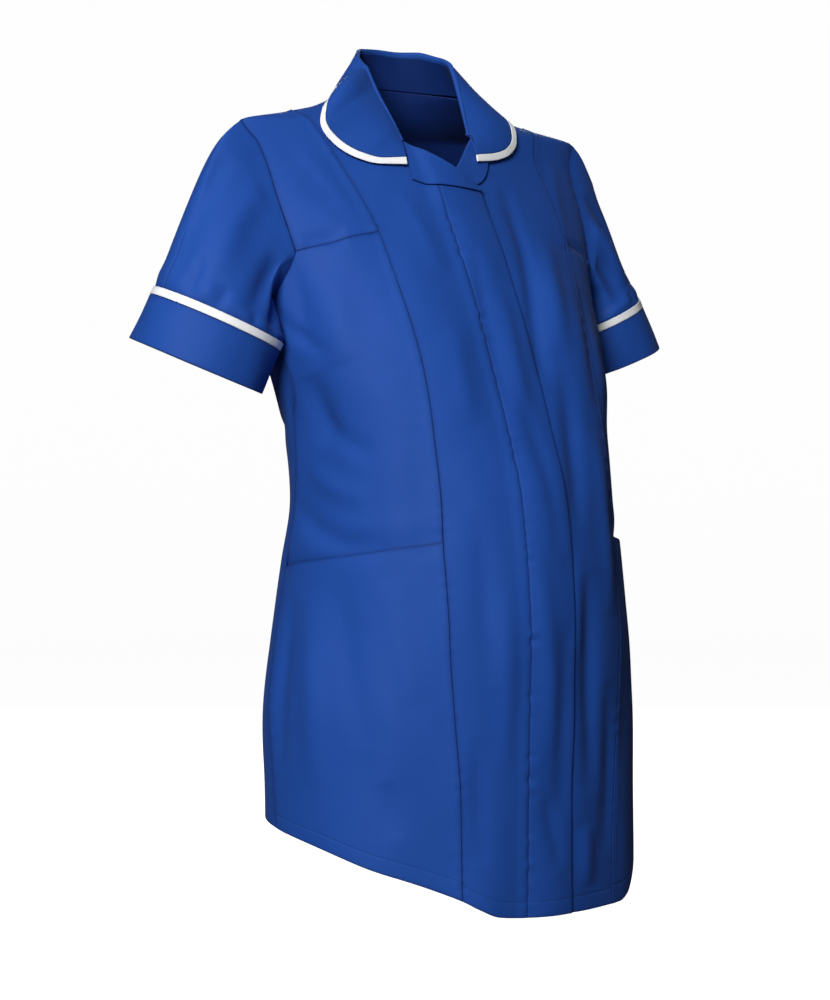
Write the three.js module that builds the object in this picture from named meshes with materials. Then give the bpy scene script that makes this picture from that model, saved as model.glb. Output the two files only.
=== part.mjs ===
// Maternity tunic, worn form without a wearer: hollow cloth walls in millimetres.
// +Z is up, the front faces -Y, and +X is the wearer's left. The origin lies on the centre
// plane, level with the nape of the neck, between the two shoulders that carry the tunic.
import * as THREE from 'three';

// ---- driving dimensions ----
const CLOTH_WALL = 1.2;        // poly-cotton with its seam allowances
const BAND_WALL = 1.8;         // turned double cloth: collar, its trim and the cuffs
const LAPEL_WALL = 1.2;
const FACING_WALL = 1.0;
const SEAM_GAP = 0.3;
const LAYER_GAP = 0.4;         // between a layer and the one that lies on it
const PLACKET_HALF_WIDTH = 25; // the fly lap is 50 wide and centred
const UNDERLAP_EDGE = 22;      // how far the left front runs under the right one
const LAP_LINE_X = 26;         // where each front comes clear of the lap
const PLACKET_LIFT = 2.0;      // right front above the left front, down the lap
const PLACKET_RISE = 20;       // width over which the right front rises to the lap
const LAPEL_GAP = 1.3;         // under a turned lapel
const LAPEL_LIFT = 2.2;        // extra lift where the left lapel lies in between
const LAPEL_LIFT_Z = { start: -140, full: -112 };
const POCKET_BAG_DEPTH = 150;
const POCKET_BAG_INSET = 2.2;  // the pocket's back lies this far inside its front
const POCKET_BAG_STEP = 30;    // height over which it moves in
const POCKET_GAPE = 2.5;       // the pocket edge stands off the panel behind it
const POCKET_GAPE_Z = { none: -524, full: -430 };
const CUFF_DEPTH = 43.5;
const CUFF_TRIM_DEPTH = 7.5;
const SLEEVE_TUCK = 6;         // length of sleeve inside the cuff trim
const COLLAR_TRIM_DEPTH = 7.5;
const COLLAR_FOLD_RADIUS = 2.2;
// Collar stand from the neck edge: wider from the shoulders on, where the two slopes part.
const SEAM_REACH = { back: 0.6, front: 1.5 };
const FACING_DEPTH_ROWS = 2.45; // neck facing, in rows of the back below its neck edge
const FACING_EDGE_FALL = 1.0;   // its free edge hangs away from the back
const NECK_AXIS = new THREE.Vector3(0, 5, 0);

const SHOULDER_POINT_Z = -49;
const PRINCESS_TOP_Z = -36;
const UNDERARM_Z = -215;
const BUST_SEAM = { arm_z: -169, princess_z: -150 };
const SIDE_HEM_Z = -700;
const SLEEVE_MIDDLE = { x: 240, y: -5, z: -150 };
const POCKET_MOUTH = { side_z: -454, princess_z: -428 };

// ---- grid steps, shared by the panels that meet at a seam ----
const HEM_ROWS = 7;            // hem to pocket mouth
const WAIST_ROWS = 6;          // pocket mouth to underarm
const UNDERARM_ROWS = 4;       // underarm to bust seam
const BUST_ROWS = WAIST_ROWS + UNDERARM_ROWS;
const CHEST_ROWS = 5;          // bust seam to shoulder
const ARM_ROWS = UNDERARM_ROWS + CHEST_ROWS;
const BODY_ROWS = HEM_ROWS + BUST_ROWS + CHEST_ROWS;
const BAG_ROWS = 4;
const SIDE_COLUMNS = 5;
const SHOULDER_COLUMNS = 2;    // princess seam to neck
const NECK_COLUMNS = 6;        // a quarter of the collar's steps
const ROLL_COLUMNS = 1;        // gorge to the lap line
const LAP_COLUMNS = 2;
const RING_STEPS = 2 * ARM_ROWS;
const SLEEVE_ROWS = 7;
const CUFF_ROWS = 2;
const COLLAR_STEPS = 4 * NECK_COLUMNS;
const LAPEL_STEPS = 6;

// ---- tables ----
const table = (columns, rows) => ({ columns, rows });

// Level slices through the body: half a super-ellipse in front and half one behind.
const BODY = table(
  ['z', 'half_width', 'side_y', 'front_y', 'back_y', 'front_power', 'back_power'],
  [
    [0, 62, 10, -6, 58, 1.6, 2.0],
    [-11, 70, 5, -14, 62, 1.5, 1.9],
    [-28, 104, 0, -30, 70, 1.4, 1.6],
    [-38, 146, -5, -39, 76, 1.35, 1.5],
    [-49, 197, -9, -46, 82, 1.35, 1.6],
    [-70, 202, -8, -56, 88, 1.45, 1.85],
    [-90, 204, -6, -67, 93, 1.65, 2.1],
    [-115, 203, -5, -81, 96, 1.95, 2.2],
    [-150, 198, -5, -102, 98, 2.2, 2.3],
    [-215, 184, -12, -135, 88, 2.4, 2.2],
    [-285, 166, -30, -163, 62, 2.7, 2.1],
    [-340, 157, -42, -183, 50, 2.5, 2.1],
    [-390, 155, -48, -199, 48, 2.3, 2.1],
    [-450, 164, -51, -208, 57, 2.2, 2.1],
    [-520, 174, -53, -212, 68, 2.2, 2.2],
    [-600, 181, -54, -211, 76, 2.2, 2.2],
    [-680, 183, -56, -209, 71, 2.2, 2.2],
    [-770, 184, -58, -208, 66, 2.2, 2.2],
  ]);
const BUST = { height: 6, x: 86, z: -250, width: 42, length: 55 };

const PRINCESS = table(['z', 'right_x', 'left_x'], [
  [-36, 140, 140],
  [-73, 120, 127],
  [-108, 110, 130],
  [-144, 104, 128],
  [-204, 102, 114],
  [-258, 100, 106],
  [-329, 98, 100],
  [-391, 98, 98],
  [-443, 100, 100],
  [-513, 100, 100],
  [-583, 97, 97],
  [-654, 92, 92],
  [-770, 89, 89],
]);

// Turns are degrees round the body, from the centre front towards either side.
const ARMHOLE_FRONT = table(['z', 'turn'], [
  [-49, 90], [-53, 83], [-71, 70], [-99, 64.5], [-126, 63], [-149, 62.5], [-168, 62.5],
  [-180, 66.5], [-190, 71], [-205, 79], [-212, 84.5], [-215, 90],
]);
const ARMHOLE_BACK = table(['z', 'turn'], [
  [-49, 90], [-53, 97], [-62, 105], [-90, 112.5], [-130, 114], [-165, 112.5],
  [-190, 110], [-205, 104], [-212, 96.5], [-215, 90],
]);
const SIDE_SEAM = table(['z', 'turn'], [
  [-215, 90], [-284, 88], [-348, 95], [-413, 103], [-480, 104], [-560, 102], [-640, 98],
  [-700, 95],
]);
const HEM_RIGHT = table(['turn', 'z'], [
  [0, -766], [8, -765], [16, -762], [22, -754], [27, -746], [34, -738], [43, -729],
  [56, -718], [71, -705], [83, -697], [95, -690], [110, -684], [125, -678], [150, -676],
  [180, -680],
]);
const HEM_LEFT = table(['turn', 'z'], [
  [0, -766], [20, -767], [32, -767], [39, -762], [45, -748], [51, -733], [60, -719],
  [71, -706], [83, -697], [95, -690], [110, -684], [125, -678], [150, -676], [180, -680],
]);

// Half collar from the centre back (part 0) to its front end (part 1).
const COLLAR = table(
  ['part', 'seam_turn', 'seam_z', 'fold_x', 'fold_y', 'fold_z', 'right_turn', 'right_z',
    'left_turn', 'left_z', 'bulge', 'edge_lift'],
  [
    [0.00, 180, -2.0, 0, 50, 35, 180, -24, 180, -24, 5, 3],
    [0.14, 158, -2.6, 21, 46.5, 33, 160, -25, 160, -25, 5, 3],
    [0.27, 135, -4.5, 37, 34, 28, 138, -27, 138, -27, 5, 3.5],
    [0.39, 112, -7.5, 46, 17, 21, 115, -28, 115, -28, 5, 4.5],
    [0.50, 90, -11, 49, 0, 10, 88, -28, 88, -28, 5, 5],
    [0.62, 52, -24, 51.5, -15, -10, 51, -43, 58, -37, 6, 4],
    [0.73, 32, -40, 50, -30.5, -31, 45, -62, 40, -52, 8, 3],
    [0.84, 23, -56, 48, -44, -50, 38, -79, 33, -70, 8, 3.6],
    [1.00, 19, -69, 42.5, -53, -63, 19, -83.5, 16.5, -77, 2.5, 4.2],
  ]);

// Lapel from the gorge (part 0) to the front edge (part 1). Widths run from the centre
// line towards the lapel's own side, so a minus sign is across the centre.
const LAPEL = table(
  ['part', 'roll_x', 'roll_z', 'right_x', 'right_z', 'left_x', 'left_z'],
  [
    [0.00, 41.5, -71.5, 46.5, -85, 50, -81],
    [0.20, 32, -76, 50, -96, 52, -84],
    [0.40, 20, -81.5, 47, -104, 44, -93],
    [0.60, 6, -88, 28, -108, 26, -102],
    [0.80, -8, -95, 2, -108, 4, -105],
    [1.00, -21, -102, -21, -105.5, -19, -104.5],
  ]);
const ROLL_LINE = table(['part', 'x', 'z'], [
  [0, 43, -69], [0.65, 0, -90], [1, -25, -103.5],
]);

// The two ends of the cuff: an ellipse that leans in the X-Z plane.
const CUFF = {
  top: { x: 230.5, y: -16, z: -227, lean_half: 58.5, depth_half: 64 },
  bottom: { x: 246.5, y: -8, z: -272, lean_half: 61, depth_half: 62 },
  lean_x: 0.92,
  lean_z: 0.39,
};
const SLEEVE_START = {
  shoulder: new THREE.Vector3(0.78, 0, -0.62),
  underarm: new THREE.Vector3(1, 0, -0.1),
  pull: 0.7,
};

// ---- curves through table rows ----
// Monotone cubic through the rows, so that a column never overshoots its values.
function curve({ columns, rows }, from, to) {
  const sorted = [...rows].sort((a, b) => a[columns.indexOf(from)] - b[columns.indexOf(from)]);
  const x = sorted.map((row) => row[columns.indexOf(from)]);
  const y = sorted.map((row) => row[columns.indexOf(to)]);
  const last = x.length - 1;
  const step = x.slice(1).map((value, i) => value - x[i]);
  const slope = step.map((width, i) => (y[i + 1] - y[i]) / width);
  const tangent = x.map((_, i) => {
    if (i === 0) return slope[0];
    if (i === last) return slope[last - 1];
    if (slope[i - 1] * slope[i] <= 0) return 0;
    const before = 2 * step[i] + step[i - 1];
    const after = step[i] + 2 * step[i - 1];
    return (before + after) / (before / slope[i - 1] + after / slope[i]);
  });
  return (value) => {
    const at = Math.min(Math.max(value, x[0]), x[last]);
    let i = 0;
    while (i < last - 1 && at > x[i + 1]) i += 1;
    const t = (at - x[i]) / step[i];
    const rest = 1 - t;
    return y[i] * (1 + 2 * t) * rest * rest + tangent[i] * step[i] * t * rest * rest
      + y[i + 1] * t * t * (3 - 2 * t) - tangent[i + 1] * step[i] * t * t * rest;
  };
}

const curves = (source, from) => Object.fromEntries(
  source.columns.filter((name) => name !== from).map((name) => [name, curve(source, from, name)]));

const body = curves(BODY, 'z');
const princess = curves(PRINCESS, 'z');
const armholeFrontTurn = curve(ARMHOLE_FRONT, 'z', 'turn');
const armholeBackTurn = curve(ARMHOLE_BACK, 'z', 'turn');
const sideTurn = curve(SIDE_SEAM, 'z', 'turn');
const hemRight = curve(HEM_RIGHT, 'turn', 'z');
const hemLeft = curve(HEM_LEFT, 'turn', 'z');
const collar = curves(COLLAR, 'part');
const lapel = curves(LAPEL, 'part');

const mix = (a, b, t) => a + (b - a) * t;
const radians = THREE.MathUtils.degToRad;
const ramp = (value, from, to) => THREE.MathUtils.smoothstep(value, from, to);

// ---- the body form ----
function formPoint(turn, z) {
  const sine = Math.sin(radians(turn));
  const cosine = Math.cos(radians(turn));
  const inFront = cosine >= 0;
  const power = inFront ? body.front_power(z) : body.back_power(z);
  const depth = (inFront ? body.front_y(z) : body.back_y(z)) - body.side_y(z);
  const x = Math.sign(sine) * body.half_width(z) * Math.abs(sine) ** (2 / power);
  const y = body.side_y(z) + depth * Math.abs(cosine) ** (2 / power);
  const across = (Math.abs(x) - BUST.x) / BUST.width;
  const along = (z - BUST.z) / BUST.length;
  const bust = BUST.height * Math.max(cosine, 0) * Math.exp(-across * across - along * along);
  return new THREE.Vector3(x, y - bust, z);
}

function formNormal(turn, z) {
  const turnStep = 0.4;
  const heightStep = 0.5;
  const across = formPoint(turn + turnStep, z).sub(formPoint(turn - turnStep, z));
  const up = formPoint(turn, z + heightStep).sub(formPoint(turn, z - heightStep));
  return across.cross(up).normalize();
}

// Turn of the point that lies x to the side of the centre plane, on the front or the back.
function turnAtX(x, z, power = body.front_power) {
  const share = Math.min(Math.abs(x) / body.half_width(z), 1);
  return Math.sign(x) * THREE.MathUtils.radToDeg(Math.asin(share ** (power(z) / 2)));
}
const backTurnAtX = (x, z) => 180 - turnAtX(x, z, body.back_power);

// ---- seams: each returns a [turn, z] place on the form ----
// side is -1 for the wearer's right and +1 for the left.
const princessAt = (side) => (z) => {
  const x = side < 0 ? princess.right_x(z) : princess.left_x(z);
  return [turnAtX(side * x, z), z];
};
const armFrontAt = (side) => (z) => [side * armholeFrontTurn(z), z];
const armBackAt = (side) => (z) => [side * armholeBackTurn(z), z];
const sideSeamAt = (side) => (z) => [side * sideTurn(z), z];
const shoulderAt = (side) => (z) => [side * 90, z];
const neckAt = (side) => (part) => [side * collar.seam_turn(part), collar.seam_z(part)];
const hemAt = (turn) => [turn, turn < 0 ? hemRight(-turn) : hemLeft(turn)];
const rollX = curve(ROLL_LINE, 'part', 'x');
const rollZ = curve(ROLL_LINE, 'part', 'z');
const rollPart = curve(ROLL_LINE, 'x', 'part');
const rollAt = (side, part) => [turnAtX(side * rollX(part), rollZ(part)), rollZ(part)];

// Height where a seam meets the hem: the two depend on each other, so it closes in on it.
function hemOfSeam(seam) {
  const rounds = 12;
  let z = SIDE_HEM_Z;
  for (let round = 0; round < rounds; round += 1) z = hemAt(seam(z)[0])[1];
  return z;
}

const along = (seam, from, to) => (t) => seam(mix(from, to, t));
const easeOut = (seam, from, to) => (t) => seam(mix(from, to, 1 - Math.cos((t * Math.PI) / 2)));
const easeBoth = (seam, from, to) => (t) => seam(mix(from, to, (1 - Math.cos(t * Math.PI)) / 2));
const reversed = (path) => (t) => path(1 - t);
const straight = (from, to) => (t) => [mix(from[0], to[0], t), mix(from[1], to[1], t)];

// One boundary from several seams, each with its own number of steps.
function joined(...pieces) {
  const total = pieces.reduce((sum, [steps]) => sum + steps, 0);
  return (t) => {
    let left = t * total;
    for (const [steps, path] of pieces) {
      if (left <= steps + 1e-9) return path(Math.min(left / steps, 1));
      left -= steps;
    }
    return pieces.at(-1)[1](1);
  };
}

// ---- walls ----
// How a patch is spread between its boundaries: by turn, or by x where seams meet the
// shoulder, on the front or on the back.
const BY_TURN = { to: (place) => place, from: (place) => place };
const BY_FRONT_X = {
  to: ([turn, z]) => [formPoint(turn, z).x, z],
  from: ([x, z]) => [turnAtX(x, z), z],
};
const BY_BACK_X = { to: BY_FRONT_X.to, from: ([x, z]) => [backTurnAtX(x, z), z] };

// A patch between four boundaries, as rows of [turn, z].
function patch({ bottom, top, left, right }, columns, rows, spread = BY_TURN) {
  const corners = [bottom(0), bottom(1), top(0), top(1)].map(spread.to);
  const blend = (u, v) => {
    const edges = [bottom(u), top(u), left(v), right(v)].map(spread.to);
    return [0, 1].map((k) => (1 - v) * edges[0][k] + v * edges[1][k]
      + (1 - u) * edges[2][k] + u * edges[3][k]
      - (1 - u) * (1 - v) * corners[0][k] - u * (1 - v) * corners[1][k]
      - (1 - u) * v * corners[2][k] - u * v * corners[3][k]);
  };
  return Array.from({ length: rows + 1 }, (_, i) => Array.from(
    { length: columns + 1 }, (__, j) => spread.from(blend(j / columns, i / rows))));
}

const above = (lower, upper) => [...lower, ...upper.slice(1)];
const beside = (first, second) => first.map((row, i) => [...row, ...second[i].slice(1)]);

// Moves an edge point half a seam gap into its own panel.
function pullIn(point, inside, before, after) {
  const edge = after.clone().sub(before).normalize();
  const inward = inside.clone().sub(point);
  inward.addScaledVector(edge, -inward.dot(edge)).normalize();
  return point.clone().addScaledVector(inward, SEAM_GAP / 2);
}

function pullEdges(grid) {
  const lastRow = grid.length - 1;
  const lastColumn = grid[0].length - 1;
  const pulled = grid.map((row) => row.map((point) => point.clone()));
  for (let i = 0; i <= lastRow; i += 1) {
    const before = Math.max(i - 1, 0);
    const after = Math.min(i + 1, lastRow);
    pulled[i][0] = pullIn(grid[i][0], grid[i][1], grid[before][0], grid[after][0]);
    pulled[i][lastColumn] = pullIn(grid[i][lastColumn], grid[i][lastColumn - 1],
      grid[before][lastColumn], grid[after][lastColumn]);
  }
  const sides = pulled.map((row) => row.map((point) => point.clone()));
  for (let j = 0; j <= lastColumn; j += 1) {
    const before = Math.max(j - 1, 0);
    const after = Math.min(j + 1, lastColumn);
    pulled[0][j] = pullIn(sides[0][j], sides[1][j], sides[0][before], sides[0][after]);
    pulled[lastRow][j] = pullIn(sides[lastRow][j], sides[lastRow - 1][j],
      sides[lastRow][before], sides[lastRow][after]);
  }
  return pulled;
}

// A closed wall between two grids of points. A round grid closes on itself along its rows.
function wallGeometry(outer, inner, round = false) {
  const rows = outer.length;
  const columns = outer[0].length;
  const positions = [...outer.flat(), ...inner.flat()].flatMap((p) => [p.x, p.y, p.z]);
  const spot = (layer, i, j) => layer * rows * columns + i * columns + (j % columns);
  const index = [];
  const quad = (a, b, c, d) => index.push(a, b, c, a, c, d);
  const lastColumn = round ? columns : columns - 1;
  for (let i = 0; i < rows - 1; i += 1) {
    for (let j = 0; j < lastColumn; j += 1) {
      quad(spot(0, i, j), spot(0, i, j + 1), spot(0, i + 1, j + 1), spot(0, i + 1, j));
      quad(spot(1, i, j), spot(1, i + 1, j), spot(1, i + 1, j + 1), spot(1, i, j + 1));
    }
  }
  for (let j = 0; j < lastColumn; j += 1) {
    quad(spot(1, 0, j), spot(1, 0, j + 1), spot(0, 0, j + 1), spot(0, 0, j));
    quad(spot(0, rows - 1, j), spot(0, rows - 1, j + 1), spot(1, rows - 1, j + 1),
      spot(1, rows - 1, j));
  }
  if (!round) {
    for (let i = 0; i < rows - 1; i += 1) {
      quad(spot(1, i + 1, 0), spot(1, i, 0), spot(0, i, 0), spot(0, i + 1, 0));
      quad(spot(0, i + 1, columns - 1), spot(0, i, columns - 1), spot(1, i, columns - 1),
        spot(1, i + 1, columns - 1));
    }
  }
  if (signedVolume(positions, index) < 0) index.reverse();
  const geometry = new THREE.BufferGeometry();
  geometry.setAttribute('position', new THREE.Float32BufferAttribute(positions, 3));
  geometry.setIndex(index);
  geometry.computeVertexNormals();
  return geometry;
}

function signedVolume(positions, index) {
  const corner = (k) => new THREE.Vector3().fromArray(positions, 3 * index[k]);
  let volume = 0;
  for (let k = 0; k < index.length; k += 3) {
    volume += corner(k).dot(corner(k + 1).cross(corner(k + 2)));
  }
  return volume / 6;
}

// A panel on the form. lift is how far its face stands off the form at [turn, z].
function panel(places, { wall = CLOTH_WALL, lift = () => 0 } = {}) {
  const face = pullEdges(places.map((row) => row.map(([turn, z]) => formPoint(turn, z))));
  const moved = (below) => face.map((row, i) => row.map((point, j) => {
    const [turn, z] = places[i][j];
    return point.clone().addScaledVector(formNormal(turn, z), lift(turn, z) - below);
  }));
  return wallGeometry(moved(0), moved(wall));
}

// Unit normals of a free grid, from its neighbouring points.
function gridNormals(grid, round) {
  const rows = grid.length;
  const columns = grid[0].length;
  const column = (j) => (round ? (j + columns) % columns : Math.min(Math.max(j, 0), columns - 1));
  return grid.map((row, i) => row.map((_, j) => {
    const across = row[column(j + 1)].clone().sub(row[column(j - 1)]);
    const below = grid[Math.max(i - 1, 0)][j];
    return across.cross(grid[Math.min(i + 1, rows - 1)][j].clone().sub(below)).normalize();
  }));
}

function offsetGrid(grid, normals, distance) {
  return grid.map((row, i) => row.map(
    (point, j) => point.clone().addScaledVector(normals[i][j], distance)));
}

// ---- body panels ----
function backPlaces() {
  const seam = sideSeamAt(1);
  const seamHem = hemOfSeam(seam);
  const half = SIDE_COLUMNS + SHOULDER_COLUMNS + NECK_COLUMNS;
  const opposite = (path) => (t) => [360 - path(t)[0], path(t)[1]];
  const level = (t) => [mix(90, 270, t), UNDERARM_Z];
  const side = joined(
    [HEM_ROWS, along(seam, seamHem, POCKET_MOUTH.side_z)],
    [WAIST_ROWS, along(seam, POCKET_MOUTH.side_z, UNDERARM_Z)]);
  const armhole = easeBoth(armBackAt(1), UNDERARM_Z, SHOULDER_POINT_Z);
  const shoulder = joined(
    [SIDE_COLUMNS, along(shoulderAt(1), SHOULDER_POINT_Z, PRINCESS_TOP_Z)],
    [SHOULDER_COLUMNS, along(shoulderAt(1), PRINCESS_TOP_Z, collar.seam_z(0.5))],
    [NECK_COLUMNS, along(neckAt(1), 0.5, 0)]);
  const below = patch({
    left: side,
    right: opposite(side),
    top: level,
    bottom: (t) => {
      const turn = mix(seam(seamHem)[0], 360 - seam(seamHem)[0], t);
      return [turn, hemAt(turn > 180 ? turn - 360 : turn)[1]];
    },
  }, 2 * half, HEM_ROWS + WAIST_ROWS);
  const shoulders = patch({
    left: armhole,
    right: opposite(armhole),
    top: joined([half, shoulder], [half, opposite(reversed(shoulder))]),
    bottom: level,
  }, 2 * half, ARM_ROWS, BY_BACK_X);
  return above(below, shoulders);
}

// The right front laps over the left one, and over the left lapel near the neck.
function lapLift(turn, z) {
  const { x } = formPoint(turn, z);
  const lap = ramp(x, -PLACKET_HALF_WIDTH - PLACKET_RISE, -LAP_LINE_X);
  return lap * (PLACKET_LIFT + LAPEL_LIFT * ramp(z, LAPEL_LIFT_Z.start, LAPEL_LIFT_Z.full));
}

function centreFront(side) {
  const seam = princessAt(side);
  const lineAt = (x) => (z) => [turnAtX(side * x, z), z];
  const edgeX = side < 0 ? -PLACKET_HALF_WIDTH : -UNDERLAP_EDGE;
  const rollEnd = rollPart(edgeX);
  const rollMiddle = rollPart(LAP_LINE_X);
  const seamHem = hemOfSeam(seam);
  const lapLine = along(lineAt(LAP_LINE_X), hemOfSeam(lineAt(LAP_LINE_X)), rollZ(rollMiddle));
  const edge = along(lineAt(edgeX), hemOfSeam(lineAt(edgeX)), rollZ(rollEnd));
  const hemBetween = (from, to) => (t) => hemAt(mix(from, to, t));
  const main = patch({
    left: joined(
      [HEM_ROWS, along(seam, seamHem, POCKET_MOUTH.princess_z)],
      [BUST_ROWS, along(seam, POCKET_MOUTH.princess_z, BUST_SEAM.princess_z)],
      [CHEST_ROWS, along(seam, BUST_SEAM.princess_z, PRINCESS_TOP_Z)]),
    right: lapLine,
    top: joined(
      [SHOULDER_COLUMNS, along(shoulderAt(side), PRINCESS_TOP_Z, collar.seam_z(0.5))],
      [NECK_COLUMNS, along(neckAt(side), 0.5, 1)],
      [ROLL_COLUMNS, (t) => rollAt(side, rollMiddle * t)]),
    bottom: hemBetween(seam(seamHem)[0], lapLine(0)[0]),
  }, SHOULDER_COLUMNS + NECK_COLUMNS + ROLL_COLUMNS, BODY_ROWS, BY_FRONT_X);
  const lap = patch({
    left: lapLine,
    right: edge,
    top: (t) => rollAt(side, mix(rollMiddle, rollEnd, t)),
    bottom: hemBetween(lapLine(0)[0], edge(0)[0]),
  }, LAP_COLUMNS, BODY_ROWS, BY_FRONT_X);
  return panel(beside(main, lap), { lift: side < 0 ? lapLift : () => 0 });
}

const bustSeam = (side) => straight(
  armFrontAt(side)(BUST_SEAM.arm_z), princessAt(side)(BUST_SEAM.princess_z));
const pocketMouth = (side) => straight(
  sideSeamAt(side)(POCKET_MOUTH.side_z), princessAt(side)(POCKET_MOUTH.princess_z));

function sideFrontUpper(side) {
  const outline = {
    left: reversed(easeOut(armFrontAt(side), SHOULDER_POINT_Z, BUST_SEAM.arm_z)),
    right: along(princessAt(side), BUST_SEAM.princess_z, PRINCESS_TOP_Z),
    top: along(shoulderAt(side), SHOULDER_POINT_Z, PRINCESS_TOP_Z),
    bottom: bustSeam(side),
  };
  return panel(patch(outline, SIDE_COLUMNS, CHEST_ROWS, BY_FRONT_X));
}

// Below the pocket mouth this panel goes on as the back of the pocket, set in behind it.
function sideFrontLower(side) {
  const mouthSide = POCKET_MOUTH.side_z;
  const mouthFront = POCKET_MOUTH.princess_z;
  const mouthZ = (turn) => {
    const [sideEnd, frontEnd] = [sideSeamAt(side)(mouthSide)[0], princessAt(side)(mouthFront)[0]];
    return mix(mouthSide, mouthFront, (turn - sideEnd) / (frontEnd - sideEnd));
  };
  const outline = {
    left: joined(
      [BAG_ROWS, along(sideSeamAt(side), mouthSide - POCKET_BAG_DEPTH, mouthSide)],
      [WAIST_ROWS, along(sideSeamAt(side), mouthSide, UNDERARM_Z)],
      [UNDERARM_ROWS, easeOut(armFrontAt(side), UNDERARM_Z, BUST_SEAM.arm_z)]),
    right: joined(
      [BAG_ROWS, along(princessAt(side), mouthFront - POCKET_BAG_DEPTH, mouthFront)],
      [BUST_ROWS, along(princessAt(side), mouthFront, BUST_SEAM.princess_z)]),
    top: bustSeam(side),
    bottom: straight(sideSeamAt(side)(mouthSide - POCKET_BAG_DEPTH),
      princessAt(side)(mouthFront - POCKET_BAG_DEPTH)),
  };
  const lift = (turn, z) => -POCKET_BAG_INSET
    * ramp(mouthZ(turn) + POCKET_BAG_STEP - z, 0, POCKET_BAG_STEP);
  return panel(patch(outline, SIDE_COLUMNS, BAG_ROWS + BUST_ROWS), { lift });
}

function pocket(side) {
  const hemSide = hemOfSeam(sideSeamAt(side));
  const hemFront = hemOfSeam(princessAt(side));
  const [sideEnd] = sideSeamAt(side)(POCKET_MOUTH.side_z);
  const [frontEnd] = princessAt(side)(POCKET_MOUTH.princess_z);
  const outline = {
    left: along(sideSeamAt(side), hemSide, POCKET_MOUTH.side_z),
    right: along(princessAt(side), hemFront, POCKET_MOUTH.princess_z),
    top: pocketMouth(side),
    bottom: (t) => hemAt(mix(sideSeamAt(side)(hemSide)[0], princessAt(side)(hemFront)[0], t)),
  };
  const lift = (turn, z) => {
    const share = THREE.MathUtils.clamp((turn - sideEnd) / (frontEnd - sideEnd), 0, 1);
    const open = ramp(z, POCKET_GAPE_Z.none, POCKET_GAPE_Z.full);
    return POCKET_GAPE * Math.sin(Math.PI * share) * open;
  };
  return panel(patch(outline, SIDE_COLUMNS, HEM_ROWS), { lift });
}

// ---- sleeves and cuffs ----
const mirrored = (side, { x, y, z }) => new THREE.Vector3(side * x, y, z);

// Ring of the cuff at a distance below its top, moved in by inset. Angle 0 is its top.
function cuffPoint(side, angle, distance, inset) {
  const { top, bottom, lean_x, lean_z } = CUFF;
  const t = distance / (CUFF_DEPTH + CUFF_TRIM_DEPTH);
  const lean = mix(top.lean_half, bottom.lean_half, t) - inset;
  const depth = mix(top.depth_half, bottom.depth_half, t) - inset;
  return mirrored(side, {
    x: mix(top.x, bottom.x, t) + lean_x * lean * Math.cos(angle),
    y: mix(top.y, bottom.y, t) - depth * Math.sin(angle),
    z: mix(top.z, bottom.z, t) + lean_z * lean * Math.cos(angle),
  });
}

// Armhole as one ring of [turn, z]: down the front to the underarm and up the back.
function armholeRing(side) {
  const front = Array.from({ length: ARM_ROWS }, (_, k) => (k < CHEST_ROWS
    ? easeOut(armFrontAt(side), SHOULDER_POINT_Z, BUST_SEAM.arm_z)(k / CHEST_ROWS)
    : reversed(easeOut(armFrontAt(side), UNDERARM_Z, BUST_SEAM.arm_z))(
      (k - CHEST_ROWS) / UNDERARM_ROWS)));
  const back = Array.from({ length: ARM_ROWS }, (_, k) => easeBoth(
    armBackAt(side), UNDERARM_Z, SHOULDER_POINT_Z)(k / ARM_ROWS));
  return [...front, ...back];
}

function sleeve(side) {
  const ring = armholeRing(side);
  const points = ring.map(([turn, z]) => formPoint(turn, z));
  const middle = mirrored(side, SLEEVE_MIDDLE);
  const trimInset = BAND_WALL + LAYER_GAP;
  const start = points.map((point, k) => {
    const next = points[(k + 1) % RING_STEPS];
    const before = points[(k + RING_STEPS - 1) % RING_STEPS];
    const away = next.clone().sub(before).cross(formNormal(...ring[k])).normalize();
    if (away.dot(middle.clone().sub(point)) < 0) away.negate();
    return point.clone().addScaledVector(away, SEAM_GAP);
  });
  const cuffAxis = cuffPoint(side, 0, CUFF_DEPTH, 0).sub(cuffPoint(side, 0, 0, 0)).normalize();
  const grid = Array.from({ length: SLEEVE_ROWS + 1 }, (_, i) => start.map((from, k) => {
    const t = i / SLEEVE_ROWS;
    const angle = (2 * Math.PI * k) / RING_STEPS;
    const to = cuffPoint(side, angle, 0, trimInset);
    const reach = to.distanceTo(from) * SLEEVE_START.pull;
    const low = (1 - Math.cos(angle)) / 2;
    const out = mirrored(side, SLEEVE_START.shoulder.clone().lerp(SLEEVE_START.underarm, low));
    const rest = 1 - t;
    return from.clone().multiplyScalar((1 + 2 * t) * rest * rest)
      .addScaledVector(out.normalize(), reach * t * rest * rest)
      .addScaledVector(to, t * t * (3 - 2 * t))
      .addScaledVector(cuffAxis, -reach * t * t * rest);
  }));
  grid.push(grid.at(-1).map((_, k) => cuffPoint(
    side, (2 * Math.PI * k) / RING_STEPS, SLEEVE_TUCK, trimInset)));
  const outward = gridNormals(grid, true);
  const facing = outward[SLEEVE_ROWS][0].dot(mirrored(side, { x: 1, y: 0, z: 1 })) > 0 ? 1 : -1;
  return wallGeometry(grid, offsetGrid(grid, outward, -facing * CLOTH_WALL), true);
}

function cuffBand(side, from, to, rows) {
  const grid = (inset) => Array.from({ length: rows + 1 }, (_, i) => Array.from(
    { length: RING_STEPS },
    (__, k) => cuffPoint(side, (2 * Math.PI * k) / RING_STEPS, mix(from, to, i / rows), inset)));
  return wallGeometry(grid(0), grid(BAND_WALL), true);
}

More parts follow.
